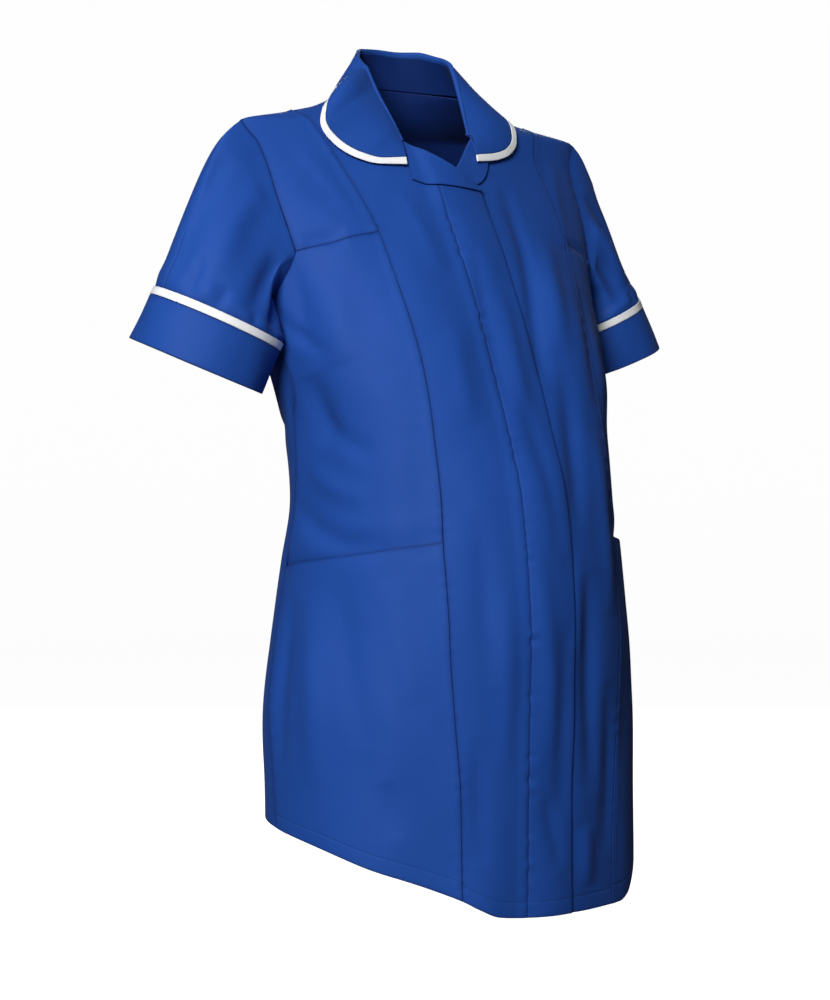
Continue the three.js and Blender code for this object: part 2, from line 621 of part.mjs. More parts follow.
// ---- collar ----
// Points across the collar at part (0 centre back, 1 front end), from the neck seam over
// the fold to the outer edge. trimStart is where the white trim takes over.
function collarProfile(side, part) {
  const across = (t, points) => {
    const [a, b, c] = points;
    return a.clone().multiplyScalar(2 * (t - 0.5) * (t - 1))
      .addScaledVector(b, -4 * t * (t - 1))
      .addScaledVector(c, 2 * t * (t - 0.5));
  };
  const foldAt = (at) => new THREE.Vector3(
    side * collar.fold_x(at), collar.fold_y(at), collar.fold_z(at));
  const name = side < 0 ? 'right' : 'left';
  const edgeTurn = side * collar[`${name}_turn`](part);
  const edgeZ = collar[`${name}_z`](part);
  const neck = formPoint(...neckAt(side)(part));
  const fold = foldAt(part);
  const seamReach = mix(SEAM_REACH.back, SEAM_REACH.front, ramp(part, 0.3, 0.5));
  const seam = neck.clone().lerp(fold, seamReach / neck.distanceTo(fold));
  const edge = formPoint(edgeTurn, edgeZ)
    .addScaledVector(formNormal(edgeTurn, edgeZ), collar.edge_lift(part));
  const out = fold.clone().sub(NECK_AXIS).setZ(0).normalize();
  const run = part > 0.01 ? foldAt(part + 0.01).sub(foldAt(part - 0.01)) : new THREE.Vector3(side, 0, 0);
  const rise = out.clone().cross(run).normalize();
  if (rise.dot(fold.clone().multiplyScalar(2).sub(seam).sub(edge)) < 0) rise.negate();
  const round = (degrees) => fold.clone()
    .addScaledVector(rise, COLLAR_FOLD_RADIUS * (Math.cos(radians(degrees)) - 1))
    .addScaledVector(out, COLLAR_FOLD_RADIUS * Math.sin(radians(degrees)));
  const standTop = round(-90);
  const leafTop = round(90);
  const middle = leafTop.clone().lerp(edge, 0.5)
    .addScaledVector(formNormal(edgeTurn, edgeZ), collar.bulge(part));
  const trimStart = 1 - COLLAR_TRIM_DEPTH / leafTop.distanceTo(edge);
  const trimGap = SEAM_GAP / leafTop.distanceTo(edge);
  const leaf = (t) => across(t, [leafTop, middle, edge]);
  return {
    cloth: [seam, seam.clone().lerp(standTop, 0.5), standTop, round(-45), round(0), round(45),
      leafTop, leaf(trimStart / 3), leaf((2 * trimStart) / 3), leaf(trimStart)],
    trim: [leaf(trimStart + trimGap), leaf((1 + trimStart) / 2), edge],
  };
}

// The collar and its trim share one sheet, cut where the trim takes over.
function collarPieces() {
  const profiles = Array.from({ length: COLLAR_STEPS + 1 }, (_, k) => {
    const place = (2 * k) / COLLAR_STEPS - 1;
    return collarProfile(place < 0 ? -1 : 1, Math.abs(place));
  });
  const sheet = profiles.map(({ cloth, trim }) => [...cloth, ...trim]);
  const normals = gridNormals(sheet, false);
  const cut = profiles[0].cloth.length;
  const piece = (from, to) => {
    const face = pullEdges(sheet.map((row) => row.slice(from, to)));
    const facing = normals.map((row) => row.slice(from, to));
    return wallGeometry(offsetGrid(face, facing, BAND_WALL / 2),
      offsetGrid(face, facing, -BAND_WALL / 2));
  };
  return { cloth: piece(0, cut), trim: piece(cut) };
}

function lapelPiece(side) {
  const name = side < 0 ? 'right' : 'left';
  const place = (x, z) => [turnAtX(side * x, z), z];
  const roll = (t) => place(lapel.roll_x(t), lapel.roll_z(t));
  const outer = (t) => place(lapel[`${name}_x`](t), lapel[`${name}_z`](t));
  const outline = {
    left: roll,
    right: outer,
    bottom: straight(roll(0), outer(0)),
    top: straight(roll(1), outer(1)),
  };
  const under = side < 0 ? lapLift : () => 0;
  const lift = (turn, z) => under(turn, z) + LAPEL_GAP + LAPEL_WALL;
  return panel(patch(outline, 2, LAPEL_STEPS), { wall: LAPEL_WALL, lift });
}

// The facing inside the back of the neck lies on the inner points of the back itself.
function neckFacing() {
  const places = backPlaces();
  const first = SIDE_COLUMNS + 1;
  const levels = [BODY_ROWS - FACING_DEPTH_ROWS, BODY_ROWS - 2, BODY_ROWS - 1, BODY_ROWS];
  const moved = (depth) => levels.map((level, i) => {
    const below = i === 0 ? depth + FACING_EDGE_FALL : depth;
    const lower = places[Math.floor(level)];
    const upper = places[Math.ceil(level)];
    const share = level - Math.floor(level);
    return lower.slice(first, lower.length - first).map((place, j) => {
      const other = upper[first + j];
      const [turn, z] = straight(place, other)(share);
      return formPoint(...place).lerp(formPoint(...other), share)
        .addScaledVector(formNormal(turn, z), -below);
    });
  });
  const inset = CLOTH_WALL + 2 * LAYER_GAP;
  return wallGeometry(pullEdges(moved(inset)), pullEdges(moved(inset + FACING_WALL)));
}

// ---- the object ----
const BLUE = { color: 0x2a4f9e, roughness: 0.82, metalness: 0 };
const WHITE = { color: 0xf2f3f5, roughness: 0.8, metalness: 0 };
const tunic = new THREE.Group();

function add(name, geometry, finish) {
  const mesh = new THREE.Mesh(geometry, new THREE.MeshStandardMaterial(finish));
  mesh.name = name;
  tunic.add(mesh);
}

add('back', panel(backPlaces()), BLUE);
add('back_neck_facing', neckFacing(), BLUE);
for (const [side, name] of [[-1, 'right'], [1, 'left']]) {
  add(`centre_front_${name}`, centreFront(side), BLUE);
  add(`side_front_upper_${name}`, sideFrontUpper(side), BLUE);
  add(`side_front_lower_${name}`, sideFrontLower(side), BLUE);
  add(`pocket_${name}`, pocket(side), BLUE);
  add(`lapel_${name}`, lapelPiece(side), BLUE);
  add(`sleeve_${name}`, sleeve(side), BLUE);
  add(`cuff_trim_${name}`, cuffBand(side, 0, CUFF_TRIM_DEPTH - SEAM_GAP, 1), WHITE);
  add(`cuff_${name}`, cuffBand(side, CUFF_TRIM_DEPTH, CUFF_TRIM_DEPTH + CUFF_DEPTH, CUFF_ROWS),
    BLUE);
}
const { cloth: collarCloth, trim: collarTrim } = collarPieces();
add('collar', collarCloth, BLUE);
add('collar_trim', collarTrim, WHITE);

export default tunic;
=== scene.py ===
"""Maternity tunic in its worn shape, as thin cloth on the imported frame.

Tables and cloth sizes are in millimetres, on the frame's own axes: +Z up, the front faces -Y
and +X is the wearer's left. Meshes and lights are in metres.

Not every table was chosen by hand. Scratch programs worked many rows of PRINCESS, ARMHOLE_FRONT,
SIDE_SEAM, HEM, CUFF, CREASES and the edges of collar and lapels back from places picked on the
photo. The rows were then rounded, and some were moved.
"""

import math
import random

import bmesh
import bpy
import numpy as np
from mathutils import Matrix, Vector


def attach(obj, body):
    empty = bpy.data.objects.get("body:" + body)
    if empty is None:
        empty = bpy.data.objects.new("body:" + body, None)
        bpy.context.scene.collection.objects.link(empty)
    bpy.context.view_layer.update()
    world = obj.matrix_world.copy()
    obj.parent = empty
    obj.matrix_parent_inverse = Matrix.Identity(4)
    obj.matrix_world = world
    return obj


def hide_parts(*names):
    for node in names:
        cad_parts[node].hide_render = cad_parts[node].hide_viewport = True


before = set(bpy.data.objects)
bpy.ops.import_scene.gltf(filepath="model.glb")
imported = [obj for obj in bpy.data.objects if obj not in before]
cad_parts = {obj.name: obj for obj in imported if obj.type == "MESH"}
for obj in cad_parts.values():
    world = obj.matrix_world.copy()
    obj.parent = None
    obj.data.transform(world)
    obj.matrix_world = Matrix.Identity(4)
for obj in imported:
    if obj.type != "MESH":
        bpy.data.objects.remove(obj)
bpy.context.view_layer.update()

MM = 0.001
SIDES = ((-1, "right"), (1, "left"))

# ---- cloth ----
CLOTH = 0.6            # one layer
BAND = 1.5             # collar, cuff trims: turned double cloth with interlining
FOLD = 1.3             # across a turned-under fold, outside to outside
CUFF_FOLD = 1.7
SEAM_ROLL = 0.9        # radius at which cloth turns into a seam
SEAM_TURN_IN = 1.2     # what shows of the allowance inside the seam
SEAM_START = 0.05
HEM_DEPTH = 14
PLACKET_TURN = 20
STEP = 3.0             # weave of the mesh over open cloth
TUBE_STEPS = 133       # mesh lines round a sleeve, a cuff or a cuff trim
TRIM_EXTRA = 0.3       # how much thicker the collar's trim is than its cloth
FLAT_LEAST = 0.01      # metres: the least a flat side of a sheet may be

# ---- cut, as in the frame ----
PLACKET_HALF_WIDTH = 25
UNDERLAP_EDGE = 22
LAP_LINE_X = 26
PLACKET_LIFT = 2.0
PLACKET_RISE = 15
PLACKET_CROWN, PLACKET_VALLEY = 1.6, 1.5
VALLEY_REACH_OUT, VALLEY_REACH_IN = 2.6, 7
LAPEL_GAP = 1.3
LAPEL_WALL = 1.2
LAPEL_LIFT = 2.2
LAPEL_LIFT_Z = (-140, -112)
POCKET_BAG_DEPTH = 150
POCKET_BAG_INSET = 2.2
POCKET_BAG_STEP = 24
MOUTH_HOLLOW, MOUTH_HOLLOW_DEPTH = 8, 1.8
POCKET_GAPE = 4.2
POCKET_GAPE_Z = (-524, -430)
CUFF_DEPTH = 43.5
CUFF_TRIM_DEPTH = 7.5
SLEEVE_TUCK = 6
SLEEVE_INSET = 1.5
COLLAR_TRIM_DEPTH = 7.5
COLLAR_FOLD_RADIUS = 1.6
SEAM_GAP = 0.3
SEAM_REACH = (0.6, 1.5)
NECK_AXIS = np.array([0.0, 5.0, 0.0])

SHOULDER_POINT_Z = -49
PRINCESS_TOP_Z = -36
UNDERARM_Z = -215
BUST_ARM_Z, BUST_PRINCESS_Z = -169, -150
SIDE_HEM_Z = -700
MOUTH_SIDE_Z, MOUTH_PRINCESS_Z = -454, -428

# Shares of a joined boundary.
WAIST_ROWS, UNDERARM_ROWS, CHEST_ROWS = 6, 4, 5
BUST_ROWS = WAIST_ROWS + UNDERARM_ROWS
ARM_ROWS = UNDERARM_ROWS + CHEST_ROWS
BAG_ROWS = 4
SIDE_COLUMNS, SHOULDER_COLUMNS, NECK_COLUMNS, ROLL_COLUMNS = 5, 2, 6, 1
BLADE_Z, CHEST_Z = -150, -168
BACK_TOP_Z = -30          # about the middle height of the back's upper edge
FACING_HALF, FACING_END_Z, FACING_DEPTH = 134, -35, 46
FACING_BOW, FACING_BEHIND = 0.35, 1.6
FRONT_SHARES, LAP_SHARES = (17, 3), (9, 2)    # skirt and chest; beside and under the lap
# Painted shade on the cloth inside the neck, where 1 is as dark as the painted shade at a seam.
FACING_SHADE, STAND_SHADE = 1.12, 1.08


# ---- tables ----
class Curve:
    """Monotone cubic through table rows: it never overshoots their values."""

    def __init__(self, x, y):
        order = np.argsort(x)
        self.x = np.array(x, float)[order]
        self.y = np.array(y, float)[order]
        self.step = np.diff(self.x)
        slope = np.diff(self.y) / self.step
        before, after = slope[:-1], slope[1:]
        near = 2 * self.step[1:] + self.step[:-1]
        far = self.step[1:] + 2 * self.step[:-1]
        turns = before * after > 0
        bottom = near / np.where(turns, before, 1) + far / np.where(turns, after, 1)
        inner = np.where(turns, (near + far) / np.where(turns, bottom, 1), 0)
        self.tangent = np.concatenate([slope[:1], inner, slope[-1:]])

    def __call__(self, value):
        at = np.clip(value, self.x[0], self.x[-1])
        i = np.clip(np.searchsorted(self.x, at) - 1, 0, len(self.step) - 1)
        t = (at - self.x[i]) / self.step[i]
        rest = 1 - t
        return (self.y[i] * (1 + 2 * t) * rest * rest
                + self.tangent[i] * self.step[i] * t * rest * rest
                + self.y[i + 1] * t * t * (3 - 2 * t)
                - self.tangent[i + 1] * self.step[i] * t * t * rest)


def curves(columns, rows):
    """One Curve for each column over the first one."""
    values = np.array(rows, float).T
    return {name: Curve(values[0], column) for name, column in zip(columns[1:], values[1:])}


BODY = curves(
    ("z", "half_width", "side_y", "front_y", "back_y", "front_power", "back_power"), [
        (0, 62, 10, -6, 58, 1.6, 2.0),
        (-11, 70, 5, -14, 62, 1.5, 1.9),
        (-28, 104, 0, -30, 70, 1.4, 1.6),
        (-38, 146, -5, -39, 76, 1.35, 1.5),
        (-49, 197, -9, -46, 82, 1.35, 1.6),
        (-70, 202, -8, -56, 88, 1.45, 1.85),
        (-90, 204, -6, -67, 93, 1.65, 2.1),
        (-115, 203, -5, -81, 96, 1.95, 2.2),
        (-150, 198, -5, -102, 98, 2.2, 2.3),
        (-215, 184, -12, -135, 88, 2.4, 2.2),
        (-285, 166, -30, -163, 62, 2.7, 2.1),
        (-340, 157, -42, -183, 50, 2.5, 2.1),
        (-390, 155, -48, -199, 48, 2.3, 2.1),
        (-450, 164, -51, -208, 57, 2.2, 2.1),
        (-520, 174, -53, -212, 68, 2.2, 2.2),
        (-600, 181, -54, -211, 76, 2.2, 2.2),
        (-680, 183, -56, -209, 71, 2.2, 2.2),
        (-770, 184, -58, -208, 66, 2.2, 2.2),
    ])
BUST_HEIGHT, BUST_X, BUST_Z, BUST_WIDTH, BUST_LENGTH = 6, 86, -250, 42, 55

PRINCESS = curves(("z", "right", "left"), [
    (-36, 140, 140), (-73, 120, 127), (-108, 110, 130), (-144, 104, 128), (-204, 102, 114),
    (-258, 100, 106), (-329, 98, 100), (-391, 98, 98), (-443, 100, 100), (-513, 100, 100),
    (-583, 97, 97), (-654, 92, 92), (-770, 89, 89),
])
ARMHOLE_FRONT = Curve(*zip(
    (-49, 90), (-53, 83), (-71, 70), (-99, 64.5), (-126, 63), (-149, 62.5), (-168, 62.5),
    (-180, 66.5), (-190, 71), (-205, 79), (-212, 84.5), (-215, 90)))
ARMHOLE_BACK = Curve(*zip(
    (-49, 90), (-53, 97), (-62, 105), (-90, 112.5), (-130, 114), (-165, 112.5),
    (-190, 110), (-205, 104), (-212, 96.5), (-215, 90)))
SIDE_SEAM = Curve(*zip(
    (-215, 90), (-284, 88), (-348, 95), (-413, 103), (-480, 104), (-560, 102), (-640, 98),
    (-700, 95)))
HEM = {
    -1: Curve(*zip(
        (0, -766), (8, -765), (16, -762), (22, -754), (27, -746), (34, -738), (43, -729),
        (56, -718), (71, -705), (83, -697), (95, -690), (110, -684), (125, -678),
        (150, -676), (180, -680))),
    1: Curve(*zip(
        (0, -766), (20, -767), (32, -767), (39, -762), (45, -748), (51, -733), (60, -719),
        (71, -706), (83, -697), (95, -690), (110, -684), (125, -678), (150, -676),
        (180, -680))),
}
# Half collar from the centre back (part 0) to its front end (part 1).
COLLAR_COLUMNS = ("part", "seam_turn", "seam_z", "fold_x", "fold_y", "fold_z", "edge_turn",
                  "edge_z", "bulge", "edge_lift")
COLLAR_BACK = [
    (0.00, 180, -2.0, 0, 50, 35, 180, -24, 4, 3),
    (0.14, 158, -2.6, 21, 46.5, 33.5, 160, -24, 4, 3),
]
COLLAR_HALF = {
    -1: COLLAR_BACK + [
        (0.27, 135, -4.5, 35, 32, 28, 137, -20, 0, 3),
        (0.39, 112, -7.5, 46, 17, 20.5, 118, -13.8, 0.7, 2.2),
        (0.45, 101, -9.2, 48, 8, 14.5, 103, -14.5, 0.7, 2.2),
        (0.50, 90, -11, 49.2, 0, 10, 86, -18, 4, 3),
        (0.53, 80, -13.5, 50, -4, 6, 72, -28, 10, 4.5),
        (0.56, 70, -16.5, 50.3, -8, 1, 57, -39, 11, 5),
        (0.62, 52, -24, 50, -16, -10.5, 47.7, -53.5, 6, 4.5),
        (0.73, 32, -38, 49, -30, -30, 43.1, -69.3, 6, 3.5),
        (0.84, 24, -52, 48, -42, -47, 35, -83, 6, 3.6),
        (0.92, 21.5, -58, 47.3, -48, -56, 27.7, -88, 3.5, 4),
        (1.00, 20, -63, 46.5, -51.5, -62.5, 19.2, -88, 1.5, 4.4),
    ],
    1: COLLAR_BACK + [
        (0.27, 135, -4.5, 37, 34, 33, 138, -23, 2, 3.5),
        (0.39, 112, -7.5, 46.5, 17, 28, 110, -18, 0, 4),
        (0.45, 101, -9.2, 49, 7, 25, 92, -23, 0, 4.5),
        (0.50, 90, -11, 49, -3, 20, 70, -28, 0, 5),
        (0.53, 80, -13.5, 48.5, -7, 15, 62, -32, 0, 5),
        (0.56, 70, -16.5, 47.8, -11, 9, 55, -36, 0.5, 5),
        (0.62, 52, -24, 46, -18, -3, 45, -43, 1.5, 4.5),
        (0.73, 32, -36, 43, -28, -22, 38.5, -56, 4, 3.5),
        (0.84, 24, -46.5, 40, -37, -39, 32.1, -69.5, 5, 3.6),
        (0.92, 21, -51.5, 38.5, -41.5, -46, 23, -77.3, 3, 4),
        (1.00, 19, -55.5, 37.2, -44.5, -52, 14.3, -80.2, 1.5, 4.4),
    ],
}


def across_centre_back(row):
    """The row's mirror image on the other half, so that the collar runs smoothly there."""
    mirror = {"part": -1, "fold_x": -1}
    return tuple(360 - value if name.endswith("turn") else mirror.get(name, 1) * value
                 for name, value in zip(COLLAR_COLUMNS, row))


COLLAR = {side: curves(COLLAR_COLUMNS, [across_centre_back(row) for row in half[1:]] + half)
          for side, half in COLLAR_HALF.items()}
SHOULDER_NECK_Z = -11

# The line that each lapel rolls on, from the collar to the front edge.
ROLL = {
    -1: (Curve((0, 0.65, 1), (45, 0, -25)), Curve((0, 0.65, 1), (-63, -90.5, -107.5))),
    1: (Curve((0, 0.65, 1), (38.5, 0, -25)), Curve((0, 0.65, 1), (-55.5, -90.5, -104))),
}
# Lower edge of the lapel from its corner (part 0) to the front edge, widths to its own side.
LAPEL_EDGE = {
    -1: curves(("part", "x", "z"), [(0, 51.6, -101), (0.27, 33, -106.6), (0.58, 8.5, -108.5),
                                    (1, -22, -110)]),
    1: curves(("part", "x", "z"), [(0, 51.8, -78.6), (0.3, 45.5, -87), (0.5, 40, -93),
                                   (0.7, 28, -100), (1, -19, -107)]),
}

# Both ends of each cuff, upper first: x, y, z, half width, half depth, lean, tilt (degrees).
CUFF = {
    -1: np.array([(-229.5, -18, -226.5, 64.5, 53, 21, 11.3), (-247, -7, -272, 63, 59, 19, 13.8)]),
    1: np.array([(221, -1, -220.5, 55.5, 63, 24, -5.2), (238, -7.5, -268, 62.5, 60, 19.2, -5)]),
}
SLEEVE_START_SHOULDER = np.array([0.9, 0, -0.44])
SLEEVE_START_UNDERARM = np.array([1, 0, -0.1])
SLEEVE_PULL = 0.78


# ---- small helpers ----
def mix(a, b, t):
    return a + (b - a) * t


def ramp(value, start, end):
    t = np.clip((value - start) / (end - start), 0, 1)
    return t * t * (3 - 2 * t)


def unit(vectors):
    return vectors / np.maximum(np.linalg.norm(vectors, axis=-1, keepdims=True), 1e-12)


def place(turn, z):
    return np.stack(np.broadcast_arrays(np.asarray(turn, float), np.asarray(z, float)), -1)


# ---- the body form ----
def form_point(places):
    turn, z = places[..., 0], places[..., 1]
    sine, cosine = np.sin(np.radians(turn)), np.cos(np.radians(turn))
    in_front = cosine >= 0
    power = np.where(in_front, BODY["front_power"](z), BODY["back_power"](z))
    side_y = BODY["side_y"](z)
    depth = np.where(in_front, BODY["front_y"](z), BODY["back_y"](z)) - side_y
    x = np.sign(sine) * BODY["half_width"](z) * np.abs(sine) ** (2 / power)
    y = side_y + depth * np.abs(cosine) ** (2 / power)
    off_bust = ((np.abs(x) - BUST_X) / BUST_WIDTH) ** 2 + ((z - BUST_Z) / BUST_LENGTH) ** 2
    return np.stack([x, y - BUST_HEIGHT * np.maximum(cosine, 0) * np.exp(-off_bust), z], -1)


def form_normal(places):
    turn_step, height_step = np.array([0.4, 0]), np.array([0, 0.5])
    across = form_point(places + turn_step) - form_point(places - turn_step)
    up = form_point(places + height_step) - form_point(places - height_step)
    return unit(np.cross(across, up))


def turn_at_x(x, z, power="front_power"):
    share = np.minimum(np.abs(x) / BODY["half_width"](z), 1)
    return np.sign(x) * np.degrees(np.arcsin(share ** (BODY[power](z) / 2)))


# ---- seams: each gives the place on the form at a height ----
def princess(side):
    column = PRINCESS["right" if side < 0 else "left"]
    return lambda z: place(turn_at_x(side * column(z), z), z)


def arm_front(side):
    return lambda z: place(side * ARMHOLE_FRONT(z), z)


def arm_back(side):
    return lambda z: place(side * ARMHOLE_BACK(z), z)


def side_seam(side):
    return lambda z: place(side * SIDE_SEAM(z), z)


def shoulder(side):
    return lambda z: place(side * 90, z)


def neckline(side):
    half = COLLAR[side]
    return lambda part: place(side * half["seam_turn"](part), half["seam_z"](part))


def front_line(x):
    return lambda z: place(turn_at_x(x, z), z)


def hem(turn):
    turn = np.asarray(turn, float)
    near = np.where(turn > 180, turn - 360, turn)
    return place(turn, np.where(near < 0, HEM[-1](-near), HEM[1](near)))


def roll_line(side):
    roll_x, roll_z = ROLL[side]
    return lambda part: place(turn_at_x(side * roll_x(part), roll_z(part)), roll_z(part))


def roll_part(side, x):
    """Where the roll crosses the height line at x, towards its own side."""
    parts = np.linspace(0, 1, 400)
    return float(np.interp(-x, -ROLL[side][0](parts), parts))


def hem_of_seam(seam):
    """Height where a seam meets the hem: each depends on the other, so it closes in on it."""
    z = SIDE_HEM_Z
    for _ in range(12):
        z = float(hem(seam(z)[0])[1])
    return z


def along(seam, start, end):
    return lambda t: seam(mix(start, end, t))


def ease_out(seam, start, end):
    return lambda t: seam(mix(start, end, 1 - np.cos(t * np.pi / 2)))


def ease_both(seam, start, end):
    return lambda t: seam(mix(start, end, (1 - np.cos(t * np.pi)) / 2))


def reversed_path(path):
    return lambda t: path(1 - t)


def straight(start, end):
    return lambda t: mix(start, end, np.asarray(t, float)[..., None])


def hem_between(start, end):
    return lambda t: hem(mix(start, end, t))


def opposite(path):
    def mirrored(t):
        places = path(t)
        return place(360 - places[..., 0], places[..., 1])
    return mirrored


def joined(*pieces):
    """One boundary from several seams, each with its own share."""
    ends = np.cumsum([share for share, _ in pieces])

    def path(t):
        left = np.asarray(t, float) * ends[-1]
        result = None
        for (share, piece), end in reversed(list(zip(pieces, ends))):
            here = piece(np.clip((left - (end - share)) / share, 0, 1))
            result = here if result is None else np.where((left <= end)[..., None], here, result)
        return result
    return path


def spread_in_x(path):
    """The same path with its points spread evenly across the body."""
    shares = np.linspace(0, 1, 400)
    x = form_point(path(shares))[:, 0]
    reached = (x - x[0]) / (x[-1] - x[0])
    return lambda t: path(np.interp(t, reached, shares))


# ---- patches between four boundaries ----
def as_is(places):
    return places


def to_x(places):
    return place(form_point(places)[..., 0], places[..., 1])


def from_front_x(pairs):
    return place(turn_at_x(pairs[..., 0], pairs[..., 1]), pairs[..., 1])


def from_back_x(pairs):
    turn = 180 - turn_at_x(pairs[..., 0], pairs[..., 1], "back_power")
    return place(turn, pairs[..., 1])


BY_TURN = (as_is, as_is)
BY_FRONT_X = (to_x, from_front_x)
BY_BACK_X = (to_x, from_back_x)


class Patch:
    """Places spread between four boundaries, asked for at u (across) and v (up)."""

    def __init__(self, bottom, top, left, right, spread=BY_TURN):
        self.sides = (bottom, top, left, right)
        self.spread = spread

    def __call__(self, u, v):
        to, back = self.spread
        bottom, top, left, right = self.sides
        ends = np.array([0.0, 1.0])
        low, high = to(bottom(ends)), to(top(ends))
        across, up = u[None, :, None], v[:, None, None]
        blend = ((1 - up) * to(bottom(u))[None] + up * to(top(u))[None]
                 + (1 - across) * to(left(v))[:, None] + across * to(right(v))[:, None]
                 - (1 - across) * (1 - up) * low[0] - across * (1 - up) * low[1]
                 - (1 - across) * up * high[0] - across * up * high[1])
        return back(blend)


class Joined:
    """Patches one above another or side by side, each with its share of the whole."""

    def __init__(self, shares, patches, upwards):
        self.cuts = np.cumsum([0, *shares]) / sum(shares)
        self.patches = patches
        self.upwards = upwards

    def __call__(self, u, v):
        run = v if self.upwards else u
        last = len(self.patches) - 1
        parts = []
        for k, patch in enumerate(self.patches):
            low, high = self.cuts[k], self.cuts[k + 1]
            mine = (run >= low if k else run > -1) & (run < high if k < last else run < 2)
            local = (run[mine] - low) / (high - low)
            if self.upwards:
                part = patch(u, local)
            else:
                part = patch(local, v)
            parts.append((mine, part))
        whole = np.empty((len(v), len(u), 2))
        for mine, part in parts:
            if self.upwards:
                whole[mine] = part
            else:
                whole[:, mine] = part
        return whole


# ---- stations: where the mesh lines of a sheet lie, from one edge to the other ----
EDGE_STEPS = np.array([0.07, 0.17, 0.4, 0.8, 1.4, 2.4, 3.8, 5.6])


class Stations:
    """Distances from the start edge, with the depth of turned-under folds and seam rolls."""

    def __init__(self, length, step=STEP, start="seam", end="seam", lines=(), fold=FOLD,
                 turn_under=HEM_DEPTH, turn_in=SEAM_TURN_IN, near=()):
        self.length = length
        self.turn_in = turn_in
        head = self.edge(start, fold, turn_under)
        tail = [(length - s, f, r) for s, f, r in reversed(self.edge(end, fold, turn_under))]
        low = max(s for s, _, _ in head[-2:])
        high = min(s for s, _, _ in tail[:2])
        count = max(int(math.ceil((high - low) / step)), 2)
        open_cloth = np.linspace(low, high, count + 1)[1:-1]
        extra = [line + offset for line in lines for offset in (-2, -1, -0.5, 0, 0.5, 1, 2)]
        extra += list(near)
        clear = [s for s in open_cloth if all(abs(s - x) > 0.45 * step for x in extra)]
        middle = sorted([*clear, *[x for x in extra if low + 0.3 < x < high - 0.3]])
        rows = head + [(s, 0.0, 0.0) for s in middle] + tail
        self.at, self.fold, self.roll = (np.array(column) for column in zip(*rows))
        self.lines = [int(np.argmin(np.abs(self.at - line) + 99 * (self.fold < 0)))
                      for line in lines]

    def edge(self, kind, fold, turn_under):
        if kind == "fold":
            radius = fold / 2
            under = [s for s in (turn_under, turn_under - 0.6, *np.arange(turn_under - 3, 3, -STEP), 2.2)
                     if s > 1.4]
            bend = np.radians([180, 150, 120, 90, 60, 30, 0])
            return ([(s, -fold, 0.0) for s in under]
                    + [(radius * (1 - math.sin(a)), -radius * (1 - math.cos(a)), 0.0) for a in bend]
                    + [(s, 0.0, 0.0) for s in (1.5, 2.6, 4.2)])
        if kind == "seam":
            first = (SEAM_START, 0.0, -SEAM_ROLL - self.turn_in)
            steps = [(s, 0.0, -(SEAM_ROLL - math.sqrt(SEAM_ROLL ** 2 - max(SEAM_ROLL - s, 0) ** 2)))
                     for s in EDGE_STEPS]
            return [first, *steps]
        if kind == "turned":
            radius = 0.6
            return [(s, 0.0, -(radius - math.sqrt(radius ** 2 - max(radius - s, 0) ** 2)))
                    for s in (0.0, 0.05, 0.16, 0.35, 0.6, 1.2, 2.2)]
        return [(s, 0.0, 0.0) for s in (0.0, 1.1, 2.4)]


def measure(point_at, upwards, other=0.5, samples=600):
    """Shares from 0 to 1 and the length reached at each, along the middle of a sheet."""
    shares = np.linspace(0, 1, samples)
    fixed = np.array([other])
    points = point_at(fixed, shares)[:, 0] if upwards else point_at(shares, fixed)[0]
    steps = np.linalg.norm(np.diff(points, axis=0), axis=1)
    return shares, np.concatenate([[0], np.cumsum(steps)])


def grid_normals(grid):
    return unit(np.cross(np.gradient(grid, axis=1), np.gradient(grid, axis=0)))


# ---- drape ----
class Crease:
    """A soft trough (depth below 0) or ridge along a line of points, in millimetres."""

    def __init__(self, points, depth, width, lobe=0.3):
        points = np.asarray(points, float)
        t = np.linspace(0, 1, len(points))
        fine = np.linspace(0, 1, 25)
        self.line = np.stack([Curve(t, column)(fine) for column in points.T], -1)
        self.depth, self.width, self.lobe = depth, width, lobe

    def press(self, points):
        flat = points.reshape(-1, 3)
        reach = 3.2 * self.width
        near = np.all((flat > self.line.min(0) - reach) & (flat < self.line.max(0) + reach), axis=1)
        moved = np.zeros(len(flat))
        if near.any():
            close = flat[near]
            best = np.full(len(close), 1e9)
            share = np.zeros(len(close))
            for k in range(len(self.line) - 1):
                start, run = self.line[k], self.line[k + 1] - self.line[k]
                t = np.clip((close - start) @ run / max(run @ run, 1e-9), 0, 1)
                distance = np.linalg.norm(close - start - t[:, None] * run, axis=1)
                nearer = distance < best
                best = np.where(nearer, distance, best)
                share = np.where(nearer, (k + t) / (len(self.line) - 1), share)
            x = best / self.width
            shape = np.exp(-x * x) * (1 - self.lobe * x * x)
            moved[near] = self.depth * shape * np.sin(np.pi * share) ** 0.7
        return moved.reshape(points.shape[:-1])


def on_form(points, depth, width, lobe=0.3):
    return Crease(form_point(np.array(points, float)), depth, width, lobe)


def on_front(points, depth, width, lobe=0.3):
    return on_form([(float(turn_at_x(x, z)), z) for x, z in points], depth, width, lobe)


class Ripple:
    """A sum of seeded waves through space, from -1 to 1."""

    def __init__(self, seed, shortest, longest, count=9):
        dice = random.Random(seed)
        waves = []
        for _ in range(count):
            direction = np.array([dice.gauss(0, 1), dice.gauss(0, 1), 0.6 * dice.gauss(0, 1)])
            waves.append((*unit(direction) * 2 * math.pi / dice.uniform(shortest, longest),
                          dice.uniform(0, 2 * math.pi)))
        self.waves = np.array(waves)

    def __call__(self, points):
        total = sum(np.sin(points @ wave[:3] + wave[3]) for wave in self.waves)
        return total / math.sqrt(len(self.waves))


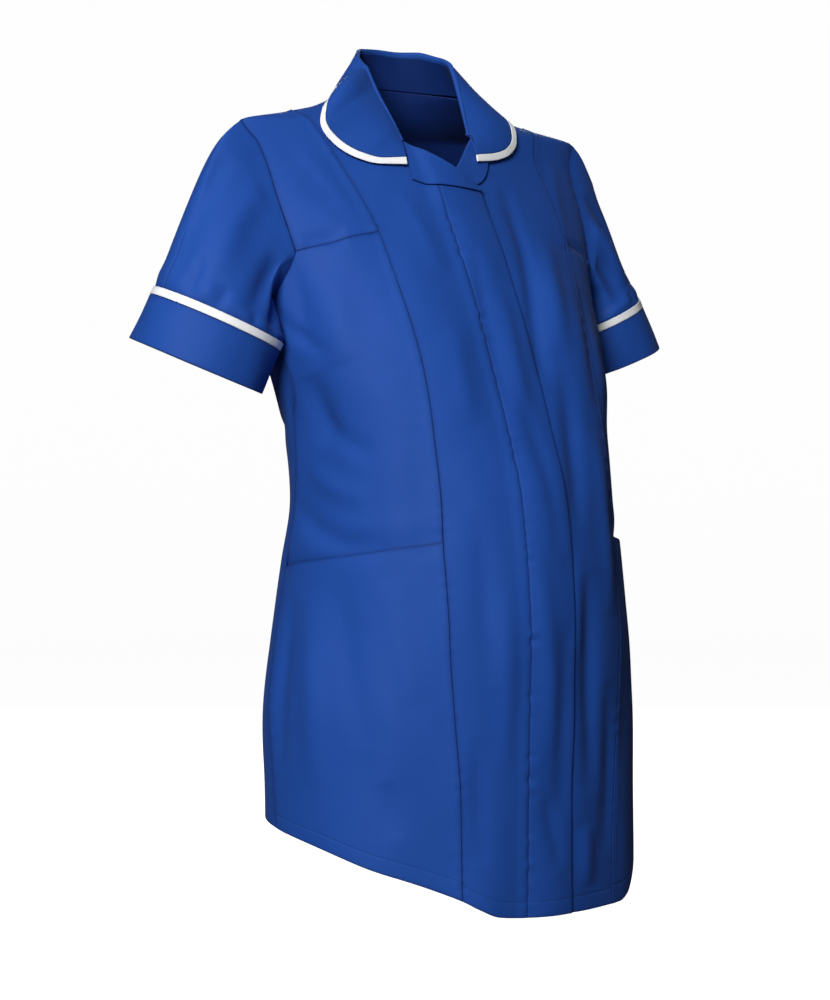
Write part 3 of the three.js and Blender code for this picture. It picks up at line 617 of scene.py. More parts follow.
class Pucker:
    """Seeded gathers along a seam, uneven in spacing and depth."""

    def __init__(self, seed, shortest=7, longest=19):
        dice = random.Random(seed)
        self.waves = [(2 * math.pi / dice.uniform(shortest, longest), dice.uniform(0, 6.28))
                      for _ in range(5)]
        self.swell = [(2 * math.pi / dice.uniform(45, 120), dice.uniform(0, 6.28))
                      for _ in range(3)]

    def __call__(self, s):
        fine = sum(np.sin(k * s + phase) for k, phase in self.waves) / 2.2
        swell = sum(np.sin(k * s + phase) for k, phase in self.swell) / 1.7
        return fine * np.clip(0.55 + 0.6 * swell, 0.05, 1.3)


CREASES = [
    # right side front and side
    on_form([(-58, -160), (-49, -158), (-41, -154)], -3.0, 9),
    on_form([(-79, -280), (-79, -316), (-76, -345)], -4.2, 17),
    on_form([(-80, -318), (-68, -342), (-58, -352)], -1.8, 11),
    on_form([(-53, -188), (-56, -231), (-60, -270)], 3.2, 19),
    on_form([(-66, -176), (-69, -213), (-75, -252)], -2.6, 12),
    on_form([(-99, -398), (-84, -420), (-69, -430), (-55, -426)], -3.2, 12),
    on_form([(-88, -362), (-78, -381), (-62, -392)], 2.2, 12),
    on_form([(-93, -478), (-93, -554), (-93, -640)], -2.6, 12),
    on_form([(-84, -474), (-80, -560), (-77, -650)], 2.6, 17),
    on_form([(-72, -470), (-66, -540), (-58, -610)], -2.0, 16),
    on_form([(-55, -462), (-49, -520), (-42, -570)], 1.8, 15),
    on_form([(-52, -640), (-49, -690)], -1.8, 14),
    # right centre front
    on_front([(-112, -325), (-113, -391), (-112, -445)], -1.8, 14),
    on_front([(-60, -236), (-65, -284), (-64, -325)], 1.8, 14),
    on_front([(-69, -400), (-69, -479), (-65, -555)], -1.8, 13),
    on_front([(-52, -470), (-50, -560), (-54, -640)], 1.6, 12),
    on_front([(-78, -601), (-76, -654), (-74, -716)], -1.8, 11),
    on_front([(-66, -110), (-60, -150), (-56, -190)], 1.4, 12),
    # placket
    on_front([(-11, -160), (-20, -239), (-22, -306)], -2.0, 9),
    on_front([(4, -200), (0, -262), (-2, -320)], 1.6, 10),
    on_front([(-4, -300), (4, -370), (8, -440)], -1.8, 11),
    on_front([(-18, -440), (-8, -525), (-2, -620)], 1.8, 12),
    on_front([(12, -500), (10, -590), (12, -680)], -1.6, 11),
    on_front([(-8, -659), (10, -724)], -1.7, 10),
    # left front
    on_front([(62, -98), (56, -161), (38, -238), (30, -288)], -3.2, 10),
    on_front([(92, -150), (72, -209), (60, -258)], 3.4, 14),
    on_front([(60, -276), (49, -348), (38, -418)], -3.4, 13),
    on_front([(128, -196), (107, -255), (99, -315)], -3.0, 14),
    on_front([(88, -330), (82, -420), (80, -500)], 2.6, 15),
    on_front([(46, -460), (48, -565), (51, -660)], -3.2, 13),
    on_front([(46, -688), (50, -745)], 2.4, 13),
    on_front([(76, -560), (80, -640), (78, -720)], -2.2, 13),
    on_front([(34, -440), (32, -540)], 1.5, 10),
    # left side, much as the right one
    on_form([(60, -166), (47, -156), (38, -151)], -2.2, 7),
    on_form([(86, -262), (84, -310), (70, -360), (57, -372)], -3.0, 13),
    on_form([(92, -352), (79, -381), (66, -394)], 2.4, 11),
    on_form([(90, -440), (76, -432), (60, -424)], -2.0, 9),
    on_form([(52, -190), (60, -250), (69, -296)], 1.8, 14),
    on_form([(99, -500), (97, -584), (92, -655)], -2.6, 11),
    on_form([(84, -498), (80, -590), (76, -660)], 2.0, 14),
    # underarms
    on_form([(-94, -226), (-99, -262), (-108, -301)], -2.6, 10),
    on_form([(-84, -222), (-76, -246), (-66, -262)], -1.8, 9),
    on_form([(94, -228), (101, -268), (106, -296)], -2.4, 10),
    on_form([(84, -221), (77, -240), (64, -268)], -2.0, 9),
    # back: from the shoulder blades down to the hollow of the waist, then the skirt
    on_form([(-122, -92), (-134, -150), (-141, -214)], 2.2, 15),
    on_form([(121, -97), (131, -146), (140, -228)], 2.4, 15),
    on_form([(-112, -178), (-126, -236), (-143, -292)], -2.6, 12),
    on_form([(112, -172), (128, -242), (147, -300)], -2.4, 13),
    on_form([(-104, -318), (-128, -336), (-152, -341), (-171, -335)], -2.8, 9),
    on_form([(108, -331), (131, -350), (156, -349), (176, -341)], -2.5, 10),
    on_form([(-118, -366), (-139, -381), (-163, -378)], -2.2, 9),
    on_form([(124, -379), (144, -393), (166, -386)], -2.4, 9),
    on_form([(-150, -402), (-154, -500), (-158, -640)], 3.0, 20),
    on_form([(-128, -432), (-126, -540), (-122, -660)], -2.8, 17),
    on_form([(176, -408), (171, -520), (174, -655)], -2.6, 18),
    on_form([(148, -414), (151, -530), (149, -648)], 2.8, 19),
    on_form([(122, -440), (124, -560), (121, -664)], -2.4, 15),
    # shoulders
    on_form([(-99, -70), (-112, -92), (-120, -118)], -1.6, 9),
    on_form([(98, -72), (110, -95), (121, -124)], -1.6, 9),
    on_front([(-150, -70), (-132, -106), (-122, -140)], 1.2, 10),
    on_front([(152, -72), (140, -104), (134, -138)], 1.2, 10),
]
# Height and reach of an allowance pressed to one side of a seam, and the size of seam puckers.
PRESSED, PRESSED_BUST = (0.45, 9), (0.5, 9)
PRINCESS_GATHER, SIDE_GATHER, BUST_GATHER = 0.32, 0.3, 0.35
BROAD = Ripple("broad", 90, 230)
SMALL = Ripple("small", 34, 70)
MIDDLING = Ripple("middling", 60, 120)
PLACKET_PUCKER = Pucker("placket", 9, 24)
CREASE_DEPTH = 1.25
BROAD_SIZE, MIDDLING_SIZE, SMALL_SIZE = 1.5, 0.55, 0.2
HEM_WAVE_SIZE, HEM_WAVE_REACH = 1.5, 130
HEM_WAVES = [(4, 0.9, 1.1), (7, 2.9, 1.0), (10, 5.1, 0.7), (13, 0.4, 0.5)]


def drape(places):
    """How far the worn cloth stands off the form, in millimetres."""
    turn, z = places[..., 0], places[..., 1]
    points = form_point(places)
    below_neck = ramp(-z, 40, 130)
    moved = below_neck * (BROAD_SIZE * BROAD(points) + MIDDLING_SIZE * MIDDLING(points)
                          + SMALL_SIZE * SMALL(points))
    for crease in CREASES:
        moved = moved + CREASE_DEPTH * crease.press(points)
    above_hem = np.maximum(z - hem(turn)[..., 1], 0)
    wave = sum(size * np.sin(np.radians(count * turn) + phase) for count, phase, size in HEM_WAVES)
    return moved + HEM_WAVE_SIZE * wave * np.exp(-(above_hem / HEM_WAVE_REACH) ** 1.4)


# ---- lifts of one layer over another ----
def no_lift(places):
    return np.zeros(places.shape[:-1])


def lap_lift(places):
    """The placket: a valley pulled in by its stitching, then a crowned band up to its fold."""
    x, z = form_point(places)[..., 0], places[..., 1]
    over_lapel = ramp(z, *LAPEL_LIFT_Z)
    lap = ramp(x, -LAP_LINE_X - PLACKET_RISE, -LAP_LINE_X + 1)
    crown = PLACKET_CROWN * np.sin(np.pi * np.clip((x + LAP_LINE_X) / (2 * LAP_LINE_X), 0, 1))
    off_valley = (x + LAP_LINE_X + 1) / np.where(
        x < -LAP_LINE_X - 1, VALLEY_REACH_OUT, VALLEY_REACH_IN)
    valley = PLACKET_VALLEY * np.exp(-off_valley ** 2) * (0.6 + 0.5 * PLACKET_PUCKER(z))
    return lap * (PLACKET_LIFT + LAPEL_LIFT * over_lapel + crown) - valley * (1 - over_lapel)


# ---- meshes ----
SEAM_SHADE_REACH = 3
PUCKER_REACH = 7
GROOVE_DEPTH, GROOVE_HALF_WIDTH = 0.3, 0.7
LAYER_CLEARANCE = 0.05

made = {}
lines = {}


def finish_mesh(name, grid, outward, painted_shade, weld=False):
    """A mesh over a grid of points, with its weave laid out in metres."""
    rows, columns = grid.shape[:2]
    bm = bmesh.new()
    bm.loops.layers.uv.new("weave")
    bmesh.ops.create_grid(bm, x_segments=columns - 1, y_segments=rows - 1, size=1, calc_uvs=True)
    mesh = bpy.data.meshes.new(name)
    bm.to_mesh(mesh)
    bm.free()
    spots = np.empty(3 * len(mesh.vertices))
    mesh.vertices.foreach_get("co", spots)
    spots = spots.reshape(-1, 3)
    column = np.rint((spots[:, 0] + 1) / 2 * (columns - 1)).astype(int)
    row = np.rint((spots[:, 1] + 1) / 2 * (rows - 1)).astype(int)
    mesh.vertices.foreach_set("co", (grid[row, column] * MM).ravel())
    across, up = weave_lengths(grid)
    corners = np.empty(len(mesh.loops), int)
    mesh.loops.foreach_get("vertex_index", corners)
    laid = np.stack([across[row, column], up[row, column]], -1)[corners] * MM
    mesh.uv_layers["weave"].data.foreach_set("uv", laid.ravel())
    # The "seam" attribute holds how much painted shade each point gets.
    seam = mesh.attributes.new("seam", "FLOAT", "POINT")
    seam.data.foreach_set("value", painted_shade[row, column].astype(np.float32))
    facing = np.einsum("ijk,ijk->", grid_normals(grid), outward)
    if weld or facing < 0:
        bm = bmesh.new()
        bm.from_mesh(mesh)
        if weld:
            bmesh.ops.remove_doubles(bm, verts=bm.verts, dist=1e-7)
        if facing < 0:
            bmesh.ops.reverse_faces(bm, faces=bm.faces)
        bm.to_mesh(mesh)
        bm.free()
    mesh.shade_smooth()
    return mesh


def weave_lengths(grid):
    """Lengths across and up the cloth at every point, from the middle and from the bottom."""
    steps = np.linalg.norm(np.diff(grid, axis=1), axis=2)
    across = np.concatenate([np.zeros((len(grid), 1)), np.cumsum(steps, axis=1)], axis=1)
    middle = grid.shape[1] // 2
    across = across - across[:, middle:middle + 1]
    rises = np.linalg.norm(np.diff(grid[:, middle], axis=0), axis=1)
    up = np.concatenate([[0], np.cumsum(rises)])
    return across, np.broadcast_to(up[:, None], across.shape)


def flat_size(grid):
    """Width, length and area of the cut, in metres."""
    widths = np.linalg.norm(np.diff(grid, axis=1), axis=2).sum(1)
    lengths = np.linalg.norm(np.diff(grid, axis=0), axis=2).sum(0)
    one, two = grid[1:, 1:] - grid[:-1, :-1], grid[1:, :-1] - grid[:-1, 1:]
    area = np.linalg.norm(np.cross(one, two), axis=2).sum() / 2
    width, length = (max(sizes.max() * MM, FLAT_LEAST) for sizes in (widths, lengths))
    return width, length, area * MM * MM


def piece(name, node, grid, outward, painted_shade, held, thickness=CLOTH, slot="blue_cloth",
          weld=False, rests_on=(), rounded=0):
    mesh = finish_mesh(name, grid, outward, painted_shade, weld)
    mesh.materials.append(MATERIALS[slot])
    cloth = bpy.data.objects.new(name, mesh)
    bpy.context.scene.collection.objects.link(cloth)
    wall = cloth.modifiers.new("cloth", "SOLIDIFY")
    wall.thickness = thickness * MM
    wall.offset = -1
    wall.use_quality_normals = True
    if rounded:
        soft = cloth.modifiers.new("turned edge", "BEVEL")
        soft.width = rounded * MM
        soft.segments = 3
        soft.limit_method = "ANGLE"
        soft.angle_limit = math.radians(50)
    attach(cloth, "root")
    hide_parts(node)
    width, length, area = flat_size(grid)
    list(rests_on)
    made[name] = (width, length, area)
    return cloth


def sample(point_at, across, up):
    """Stations across and up turned into the shares that a patch is asked for."""
    return (np.interp(across.at, *reversed(measure(point_at, False))),
            np.interp(up.at, *reversed(measure(point_at, True))))


def body_panel(name, node, patch, across, up, lift=no_lift, ridges=(), puckers=(), grooves=(),
               depth=0.0, inside_out=False, shade=lambda places: 0.0):
    """A cut piece on the form. across and up are Stations options.

    ridges: (edge, height, reach) of pressed seam allowances; puckers: (edge, seed, size);
    grooves: (direction, station line) of topstitching; shade: the least painted shade at each place.
    """
    surface = lambda u, v: form_point(patch(u, v))
    wide = measure(surface, False)[1][-1]
    high = measure(surface, True)[1][-1]
    across, up = Stations(wide, **across), Stations(high, **up)
    u, v = sample(surface, across, up)
    places = patch(u, v)
    base, normal = form_point(places), form_normal(places)
    rise = lift(places) + drape(places) - depth
    rise = rise + across.fold[None] + up.fold[:, None]
    rise = np.maximum(rise, rise - (across.fold[None] + up.fold[:, None]) - FOLD
                      - LAYER_CLEARANCE)
    edge = {"left": across.at[None], "right": (wide - across.at)[None],
            "bottom": up.at[:, None], "top": (high - up.at)[:, None]}
    for side, height, reach in ridges:
        rise = rise + height * (1 - ramp(edge[side], reach - 2.5, reach))
    for side, seed, size in puckers:
        position = base[..., 2] if side in ("left", "right") else base[..., 0] + base[..., 1]
        rise = rise + size * Pucker(seed)(position) * np.exp(
            -(edge[side] / PUCKER_REACH) ** 2)
    for direction, line in grooves:
        off = across.at[None] - across.at[across.lines[line]] if direction == "across" \
            else up.at[:, None] - up.at[up.lines[line]]
        shown = (across.fold[None] >= 0) if direction == "across" else (up.fold[:, None] >= 0)
        rise = rise - GROOVE_DEPTH * np.exp(-(off / GROOVE_HALF_WIDTH) ** 2) * shown
    roll = np.minimum(across.roll[None], up.roll[:, None])
    grid = base + normal * (rise + roll)[..., None]
    nearest = np.minimum.reduce(np.broadcast_arrays(*edge.values()))
    # Painted shade: darker near every edge of the piece, and at least what shade asks for.
    painted_shade = np.maximum(np.exp(-nearest / SEAM_SHADE_REACH), shade(places))
    piece(name, node, grid, -normal if inside_out else normal, painted_shade, "hung",
          rests_on=["wearer_shoulders"] if name == "back_cloth" else ["back_cloth"])
    return grid, across, up


def keep_line(name, points):
    lines.setdefault(name, []).append(points)


# ---- finishes ----
class Term:
    """A shader value that takes plain arithmetic."""

    def __init__(self, finish, socket):
        self.finish, self.socket = finish, socket

    def __add__(self, other):
        return self.finish.maths("ADD", self, other)

    def __sub__(self, other):
        return self.finish.maths("SUBTRACT", self, other)

    def __rsub__(self, other):
        return self.finish.maths("SUBTRACT", other, self)

    def __mul__(self, other):
        return self.finish.maths("MULTIPLY", self, other)

    def __pow__(self, other):
        return self.finish.maths("POWER", self, other)

    __radd__ = __add__
    __rmul__ = __mul__


class Finish:
    """One material, built from nodes."""

    def __init__(self, name):
        self.material = bpy.data.materials.new(name)
        self.material.use_nodes = True
        self.material.node_tree.nodes.clear()

    def node(self, kind, settings=None, inputs=None, output=0):
        node = self.material.node_tree.nodes.new("ShaderNode" + kind)
        for key, value in (settings or {}).items():
            setattr(node, key, value)
        for key, value in (inputs or {}).items():
            if isinstance(value, Term):
                self.material.node_tree.links.new(value.socket, node.inputs[key])
            else:
                node.inputs[key].default_value = value
        return Term(self, node.outputs[output]) if node.outputs else node

    def maths(self, operation, *values):
        return self.node("Math", {"operation": operation}, dict(enumerate(values)))

    def sine(self, value):
        return self.maths("SINE", value)

    def blend(self, factor, first, second):
        return self.node("Mix", {"data_type": "RGBA"}, {0: factor, 6: first, 7: second}, 2)

    def noise(self, vector, scale, detail=2.0):
        return self.node("TexNoise", None, {"Vector": vector, "Scale": scale, "Detail": detail})

    def shade(self, inputs):
        surface = self.node("BsdfPrincipled", None, inputs)
        self.node("OutputMaterial", None, {"Surface": surface})
        return self.material


def woven(name, pale, deep, shade, roughness, pitch, relief):
    """Twill in two close tones of its dye, with painted shade: its colour is mixed towards a shade
    colour near seams and edges, inside the neck and in the pocket mouths.
    """
    cloth = Finish(name)
    laid = cloth.node("UVMap", {"uv_map": "weave"})
    x = cloth.node("SeparateXYZ", None, {0: laid}, 0)
    y = cloth.node("SeparateXYZ", None, {0: laid}, 1)
    place_on = cloth.node("TexCoord", None, None, 3)
    yarn = cloth.node("CombineXYZ", None, {0: x * 260, 1: y * 2600})
    slub = cloth.noise(yarn, 1.0, 3.0)
    cross_yarn = cloth.node("CombineXYZ", None, {0: x * 2600, 1: y * 260})
    cross_slub = cloth.noise(cross_yarn, 1.0, 3.0)
    rib = cloth.sine((x + y) * (2 * math.pi / pitch)) * 0.5 + 0.5
    thread = cloth.sine((x - y) * (2 * math.pi / (0.47 * pitch))) * 0.5 + 0.5
    dye = cloth.noise(place_on, 7.0, 4.0)
    wear = cloth.noise(place_on, 55.0, 3.0)
    tone = dye * 0.55 + wear * 0.2 + slub * 0.3 + cross_slub * 0.25 + rib * 0.12 - 0.3
    colour = cloth.blend(tone, deep, pale)
    # Painted shade: the "seam" attribute mixes the colour towards the shade colour.
    painted_shade_amount = cloth.node("Attribute", {"attribute_name": "seam"}, None, 2)
    colour = cloth.blend((painted_shade_amount ** 2.2) * 0.78, colour, shade)
    height = rib * 0.5 + thread * 0.2 + slub * 0.35 + cross_slub * 0.35
    fine = cloth.node("Bump", None, {"Strength": 0.5, "Distance": relief, "Height": height})
    crumple = cloth.noise(place_on, 38.0, 5.0)
    bump = cloth.node("Bump", None, {"Strength": 0.35, "Distance": 0.0016, "Height": crumple,
                                     "Normal": fine})
    rough = roughness + (wear - 0.5) * 0.12 + (slub - 0.5) * 0.08
    return cloth.shade({"Base Color": colour, "Roughness": rough, "Normal": bump,
                        "Sheen Weight": 0.03, "Sheen Roughness": 0.4,
                        "Specular IOR Level": 0.11})


MATERIALS = {
    # The third colour of each is the painted shade colour that seams, edges and the inside of the neck
    # are mixed towards.
    "blue_cloth": woven("royal blue twill", (0.0165, 0.078, 0.375, 1), (0.0115, 0.06, 0.3, 1),
                        (0.004, 0.018, 0.11, 1), 0.62, 0.0011, 0.00012),
    "white_trim": woven("white trim cotton", (0.95, 0.95, 0.955, 1), (0.9, 0.905, 0.92, 1),
                        (0.62, 0.65, 0.72, 1), 0.62, 0.0008, 0.0001),
}


def sewing_thread(name, colour, deep):
    twist = Finish(name)
    place_on = twist.node("TexCoord", None, None, 3)
    x = twist.node("SeparateXYZ", None, {0: place_on}, 0)
    z = twist.node("SeparateXYZ", None, {0: place_on}, 2)
    ply = twist.sine((x + z) * (2 * math.pi / 0.0006)) * 0.5 + 0.5
    bump = twist.node("Bump", None, {"Strength": 0.6, "Distance": 0.00008, "Height": ply})
    return twist.shade({"Base Color": twist.blend(ply, deep, colour), "Roughness": 0.5,
                        "Normal": bump, "Sheen Weight": 0.1})


THREAD = sewing_thread("blue sewing thread", (0.017, 0.08, 0.37, 1), (0.006, 0.03, 0.16, 1))


# ---- body panels ----
def bust_seam(side):
    return straight(arm_front(side)(BUST_ARM_Z), princess(side)(BUST_PRINCESS_Z))


def back_top(start, first_z):
    """Over the shoulder from a height on it, along the neckline and down the other one."""
    half = joined((start, along(shoulder(1), first_z, SHOULDER_NECK_Z)),
                  (NECK_COLUMNS, along(neckline(1), 0.5, 0)))
    return spread_in_x(joined((1, half), (1, opposite(reversed_path(half)))))


def make_back():
    seam, armhole_edge = side_seam(1), arm_back(1)
    low = hem_of_seam(seam)
    turn, blade = seam(low)[0], armhole_edge(BLADE_Z)[0]
    side = along(seam, low, UNDERARM_Z)
    level = lambda t: place(mix(90, 270, t), UNDERARM_Z)
    blades = spread_in_x(lambda t: place(mix(blade, 360 - blade, t), BLADE_Z))
    under = ease_out(armhole_edge, BLADE_Z, UNDERARM_Z)
    over = ease_out(armhole_edge, BLADE_Z, SHOULDER_POINT_Z)
    below = Patch(hem_between(turn, 360 - turn), level, side, opposite(side))
    middle = Patch(level, blades, reversed_path(under), opposite(reversed_path(under)))
    above = Patch(blades, back_top(SIDE_COLUMNS, SHOULDER_POINT_Z), over, opposite(over),
                  BY_BACK_X)
    whole = Joined((UNDERARM_Z - low, BLADE_Z - UNDERARM_Z, BACK_TOP_Z - BLADE_Z),
                   (below, middle, above), True)
    grid, across, up = body_panel(
        "back_cloth", "back", whole, {}, {"start": "fold", "lines": (HEM_DEPTH,), "turn_in": 0.2},
        puckers=(("left", "side_left", SIDE_GATHER), ("right", "side_right", SIDE_GATHER)),
        grooves=(("up", 0),))
    keep_line("hem", grid[up.lines[0], across.fold == 0])


def make_facing():
    """The facing of the back neck, cut as a shallow bow."""
    lower = lambda t: from_back_x(np.stack(
        [FACING_HALF * np.cos(np.pi * t),
         FACING_END_Z - FACING_DEPTH * (np.sin(np.pi * t) + 1e-6) ** FACING_BOW], -1))
    top = back_top(1, FACING_END_Z)
    ends = np.array([0.0, 1.0])
    low, high = lower(ends), top(ends)
    patch = Patch(lower, top, straight(low[0], high[0]), straight(low[1], high[1]), BY_BACK_X)
    body_panel("neck_facing_cloth", "back_neck_facing", patch,
               {"start": "plain", "end": "plain"}, {"start": "turned", "end": "plain"},
               depth=FACING_BEHIND, inside_out=True, shade=lambda places: FACING_SHADE)


def beside_stitching(places):
    """Painted shade on the pulled-in cloth left of the placket's stitching."""
    off = form_point(places)[..., 0] + LAP_LINE_X + 1.2
    return 0.85 * np.exp(-(off / np.where(off < 0, 1.6, 0.8)) ** 2)


def make_centre_front(side, name):
    seam = princess(side)
    edge_x = PLACKET_HALF_WIDTH if side < 0 else -UNDERLAP_EDGE
    lap, edge = front_line(side * LAP_LINE_X), front_line(edge_x)
    roll = roll_line(side)
    roll_end, roll_middle = roll_part(side, side * edge_x), roll_part(side, LAP_LINE_X)
    roll_z = ROLL[side][1]
    low, lap_low, edge_low = (hem_of_seam(line) for line in (seam, lap, edge))
    at_seam, at_lap, at_edge = seam(BUST_PRINCESS_Z), lap(CHEST_Z), edge(CHEST_Z)
    lap_skirt = along(lap, lap_low, CHEST_Z)
    lap_chest = along(lap, CHEST_Z, roll_z(roll_middle))
    neck = spread_in_x(joined(
        (SHOULDER_COLUMNS, along(shoulder(side), PRINCESS_TOP_Z, SHOULDER_NECK_Z)),
        (NECK_COLUMNS, along(neckline(side), 0.5, 1)),
        (ROLL_COLUMNS, lambda t: roll(roll_middle * t))))
    skirt = Joined(LAP_SHARES, (
        Patch(hem_between(seam(low)[0], lap(lap_low)[0]), straight(at_seam, at_lap),
              along(seam, low, BUST_PRINCESS_Z), lap_skirt, BY_FRONT_X),
        Patch(hem_between(lap(lap_low)[0], edge(edge_low)[0]), straight(at_lap, at_edge),
              lap_skirt, along(edge, edge_low, CHEST_Z), BY_FRONT_X)), False)
    chest = Joined(LAP_SHARES, (
        Patch(straight(at_seam, at_lap), neck, along(seam, BUST_PRINCESS_Z, PRINCESS_TOP_Z),
              lap_chest, BY_FRONT_X),
        Patch(straight(at_lap, at_edge), lambda t: roll(mix(roll_middle, roll_end, t)),
              lap_chest, along(edge, CHEST_Z, roll_z(roll_end)), BY_FRONT_X)), False)
    whole = Joined(FRONT_SHARES, (skirt, chest), True)
    shares, lengths = measure(lambda u, v: form_point(whole(u, v)), False)
    lap_at = float(np.interp(LAP_SHARES[0] / sum(LAP_SHARES), shares, lengths))
    right = side < 0
    across = {"lines": (lap_at,), "end": "fold" if right else "plain",
              "turn_under": PLACKET_TURN}
    grid, across, up = body_panel(
        f"centre_front_{name}_cloth", f"centre_front_{name}", whole, across,
        {"start": "fold", "lines": (HEM_DEPTH,), "turn_in": 0.2},
        lift=lap_lift if right else no_lift,
        puckers=(("left", f"princess_{name}", PRINCESS_GATHER),),
        grooves=(("up", 0), ("across", 0)) if right else (("up", 0),),
        shade=beside_stitching if right else no_lift)
    keep_line("hem", grid[up.lines[0], across.fold == 0])
    if right:
        keep_line("placket", grid[up.fold == 0, across.lines[0]])


def make_side_front_upper(side, name):
    patch = Patch(bust_seam(side), along(shoulder(side), SHOULDER_POINT_Z, PRINCESS_TOP_Z),
                  reversed_path(ease_out(arm_front(side), SHOULDER_POINT_Z, BUST_ARM_Z)),
                  along(princess(side), BUST_PRINCESS_Z, PRINCESS_TOP_Z), BY_FRONT_X)
    body_panel(f"side_front_upper_{name}_cloth", f"side_front_upper_{name}", patch, {}, {},
               ridges=(("right", *PRESSED),),
               puckers=(("right", f"princess_{name}", PRINCESS_GATHER),
                        ("left", f"armhole_{name}", SIDE_GATHER),
                        ("bottom", f"bust_{name}", BUST_GATHER)))


def make_side_front_lower(side, name):
    side_at, front_at = side_seam(side), princess(side)
    side_end, front_end = side_at(MOUTH_SIDE_Z)[0], front_at(MOUTH_PRINCESS_Z)[0]
    patch = Patch(
        straight(side_at(MOUTH_SIDE_Z - POCKET_BAG_DEPTH),
                 front_at(MOUTH_PRINCESS_Z - POCKET_BAG_DEPTH)),
        bust_seam(side),
        joined((BAG_ROWS, along(side_at, MOUTH_SIDE_Z - POCKET_BAG_DEPTH, MOUTH_SIDE_Z)),
               (WAIST_ROWS, along(side_at, MOUTH_SIDE_Z, UNDERARM_Z)),
               (UNDERARM_ROWS, ease_out(arm_front(side), UNDERARM_Z, BUST_ARM_Z))),
        joined((BAG_ROWS, along(front_at, MOUTH_PRINCESS_Z - POCKET_BAG_DEPTH,
                                MOUTH_PRINCESS_Z)),
               (BUST_ROWS, along(front_at, MOUTH_PRINCESS_Z, BUST_PRINCESS_Z))))

    def above_mouth(places):
        share = (places[..., 0] - side_end) / (front_end - side_end)
        return share, places[..., 1] - mix(MOUTH_SIDE_Z, MOUTH_PRINCESS_Z, share)

    def behind_pocket(places):
        share, above = above_mouth(places)
        hollow = np.exp(-(above / MOUTH_HOLLOW) ** 2) * np.sin(np.pi * np.clip(share, 0, 1))
        return (-POCKET_BAG_INSET * ramp(POCKET_BAG_STEP - above, 0, POCKET_BAG_STEP)
                - MOUTH_HOLLOW_DEPTH * hollow)

    # Painted shadow in the pocket mouth and just above it, on the panel behind the pocket.
    def mouth_painted_shadow(places):
        share, above = above_mouth(places)
        return np.where(above < 0, 1, np.exp(-above / (2.5 + 5 * (1 - share)))) * 0.97

    body_panel(f"side_front_lower_{name}_cloth", f"side_front_lower_{name}", patch, {},
               {"start": "plain"}, lift=behind_pocket, shade=mouth_painted_shadow,
               ridges=(("right", *PRESSED), ("top", *PRESSED_BUST)),
               puckers=(("right", f"princess_{name}", PRINCESS_GATHER),
                        ("left", f"side_{name}", SIDE_GATHER),
                        ("top", f"bust_{name}", BUST_GATHER)))


def make_pocket(side, name):
    side_at, front_at = side_seam(side), princess(side)
    low_side, low_front = hem_of_seam(side_at), hem_of_seam(front_at)
    side_end, front_end = side_at(MOUTH_SIDE_Z)[0], front_at(MOUTH_PRINCESS_Z)[0]
    patch = Patch(hem_between(side_at(low_side)[0], front_at(low_front)[0]),
                  straight(side_at(MOUTH_SIDE_Z), front_at(MOUTH_PRINCESS_Z)),
                  along(side_at, low_side, MOUTH_SIDE_Z),
                  along(front_at, low_front, MOUTH_PRINCESS_Z))

    def gape(places):
        share = np.clip((places[..., 0] - side_end) / (front_end - side_end), 0, 1)
        return POCKET_GAPE * np.sin(np.pi * share) * ramp(places[..., 1], *POCKET_GAPE_Z)

    grid, across, up = body_panel(
        f"pocket_{name}_cloth", f"pocket_{name}", patch, {},
        {"start": "fold", "end": "fold", "lines": (HEM_DEPTH,)}, lift=gape,
        ridges=(("right", *PRESSED),),
        puckers=(("right", f"princess_{name}", PRINCESS_GATHER), ("left", f"side_{name}", SIDE_GATHER)),
        grooves=(("up", 0),))
    keep_line("hem", grid[up.lines[0], across.fold == 0])


def make_lapel(side, name):
    edge = LAPEL_EDGE[side]
    roll = roll_line(side)
    outer = lambda t: place(turn_at_x(side * edge["x"](t), edge["z"](t)), edge["z"](t))
    patch = Patch(straight(roll(0.0), outer(0.0)), straight(roll(1.0), outer(1.0)), roll, outer,
                  BY_FRONT_X)
    under = lap_lift if side < 0 else no_lift
    rise = LAPEL_GAP + LAPEL_WALL
    surface = lambda u, v: form_point(patch(u, v))
    wide, high = measure(surface, False)[1][-1], measure(surface, True)[1][-1]
    across = Stations(wide, 1.2, "fold", "turned", fold=rise, turn_under=0)
    up = Stations(high, 1.5, "turned", "turned")
    places = patch(*sample(surface, across, up))
    normal = form_normal(places)
    lift = under(places) + drape(places) + rise + across.fold[None]
    grid = form_point(places) + normal * (lift + np.minimum(
        across.roll[None], up.roll[:, None]))[..., None]
    # Painted shade along the lapel's edges.
    nearest = np.minimum((wide - across.at)[None], np.minimum(up.at, high - up.at)[:, None])
    piece(f"lapel_{name}_cloth", f"lapel_{name}", grid, normal, np.exp(-nearest / 1.2), "folded",
          thickness=1.0, rests_on=[f"centre_front_{name}_cloth"])


# ---- sleeves and cuffs ----
def cuff_point(side, angle, distance, inset):
    t = np.asarray(distance / (CUFF_DEPTH + CUFF_TRIM_DEPTH))[..., None]
    x, y, z, wide, deep, lean, tilt = np.moveaxis(mix(*CUFF[side], t), -1, 0)
    lean, tilt = np.radians(lean), np.radians(tilt)
    across, ahead = (wide - inset) * np.cos(angle), (deep - inset) * np.sin(angle)
    return np.stack(np.broadcast_arrays(x + side * across * np.cos(lean),
                                        y - ahead * np.cos(tilt),
                                        z + across * np.sin(lean) - ahead * np.sin(tilt)), -1)


